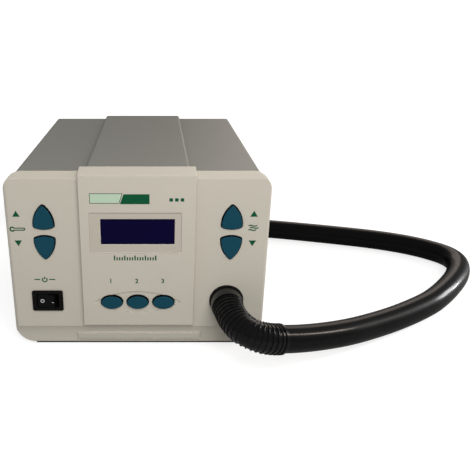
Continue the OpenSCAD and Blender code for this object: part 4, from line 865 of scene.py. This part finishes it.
bench_tree.links.new(seen, shown.inputs[0])
bench_tree.links.new(lift.outputs["Result"], shown.inputs[1])
paper.inputs["Emission Color"].default_value = (1, 1, 1, 1)
bench_tree.links.new(shown.outputs["Value"], paper.inputs["Emission Strength"])
bench_mesh.materials.append(bench_white)
bench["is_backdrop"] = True

# Strip of the bench under the case, between the feet: a darker grey sheet without the bench's glow,
# laid there as painted shadow under the front edge, which also takes the case's real shadow.
SHEET_T = 0.0001
painted_shadow_strip = surface("painted_shadow_strip", srgb(90, 90, 90), 0.8, tone=0.04, patch=0.03, shine=0.0)
shadow_strip_mesh = bpy.data.meshes.new("painted_shadow_strip")
shadow_strip_mesh.from_pydata([(case_x + x, face_y + y, SHEET_T) for x, y in
                        ((-0.080, 0.0044), (0.086, 0.0044), (0.080, 0.20), (-0.080, 0.20))],
                       [], [(0, 1, 2, 3)])
shadow_strip_mesh.materials.append(painted_shadow_strip)
shade = bpy.data.objects.new("painted_shadow_strip", shadow_strip_mesh)
bpy.context.scene.collection.objects.link(shade)
shade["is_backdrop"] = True

# Light. An even studio, dimmer where the glossy pieces mirror it, a soft lamp above the
# front, three small ones at the right that draw streaks on the hose, and two from behind.
world = bpy.data.worlds.new("studio")
bpy.context.scene.world = world
world.use_nodes = True
sky = world.node_tree.nodes["Background"]
sky.inputs["Color"].default_value = (1, 1, 1, 1)
level = world.node_tree.nodes.new("ShaderNodeMapRange")
STUDIO_LEVEL = 0.44
MIRRORED_LEVEL = 0.27
level.inputs["To Min"].default_value = STUDIO_LEVEL
level.inputs["To Max"].default_value = 1.0
world.node_tree.links.new(ray_is(world.node_tree, "Is Camera Ray", "Is Transmission Ray"),
                          level.inputs["Value"])
mirrored = world.node_tree.nodes.new("ShaderNodeMix")
mirrored.inputs["B"].default_value = MIRRORED_LEVEL
world.node_tree.links.new(ray_is(world.node_tree, "Is Glossy Ray"), mirrored.inputs["Factor"])
world.node_tree.links.new(level.outputs["Result"], mirrored.inputs["A"])
world.node_tree.links.new(mirrored.outputs["Result"], sky.inputs["Strength"])


WARM = (1.0, 0.86, 0.76)


def lamp(name, place, aim, size, power, mirrored=True, tint=(1, 1, 1)):
    """A square soft light at a place, turned to a point, which glossy pieces may mirror."""
    data = bpy.data.lights.new(name, "AREA")
    data.shape = "SQUARE"
    data.size = size
    data.energy = power
    data.color = tint
    obj = bpy.data.objects.new(name, data)
    obj.visible_glossy = mirrored
    obj.location = place
    obj.rotation_euler = (Vector(aim) - Vector(place)).to_track_quat("-Z", "Y").to_euler()
    bpy.context.scene.collection.objects.link(obj)


middle = (case_x, face_y + 0.02, 0.07)
bend = (case_x + 0.20, face_y + 0.02, 0.015)
low_back = (case_x, face_y + 0.2, 0.06)
lamp("above_front", (case_x + 0.10, face_y - 0.46, 0.46), middle, 0.4, 3.1, mirrored=False)
lamp("right_high", (case_x + 1.0, face_y, 0.56), bend, 0.12, 1.7, tint=WARM)
lamp("right_window", (case_x + 1.0, face_y + 0.30, 0.26), bend, 0.20, 3.4)
lamp("right_low", (case_x + 1.0, face_y + 0.36, 0.12), bend, 0.06, 0.9)
lamp("back_right", (case_x + 0.55, face_y + 1.16, 0.70), bend, 0.75, 4.0, tint=WARM)
lamp("back_fill", (case_x - 0.6, face_y + 1.2, 0.7), low_back, 0.8, 4.2, mirrored=False)

bpy.context.scene.view_settings.view_transform = "Standard"
low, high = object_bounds()
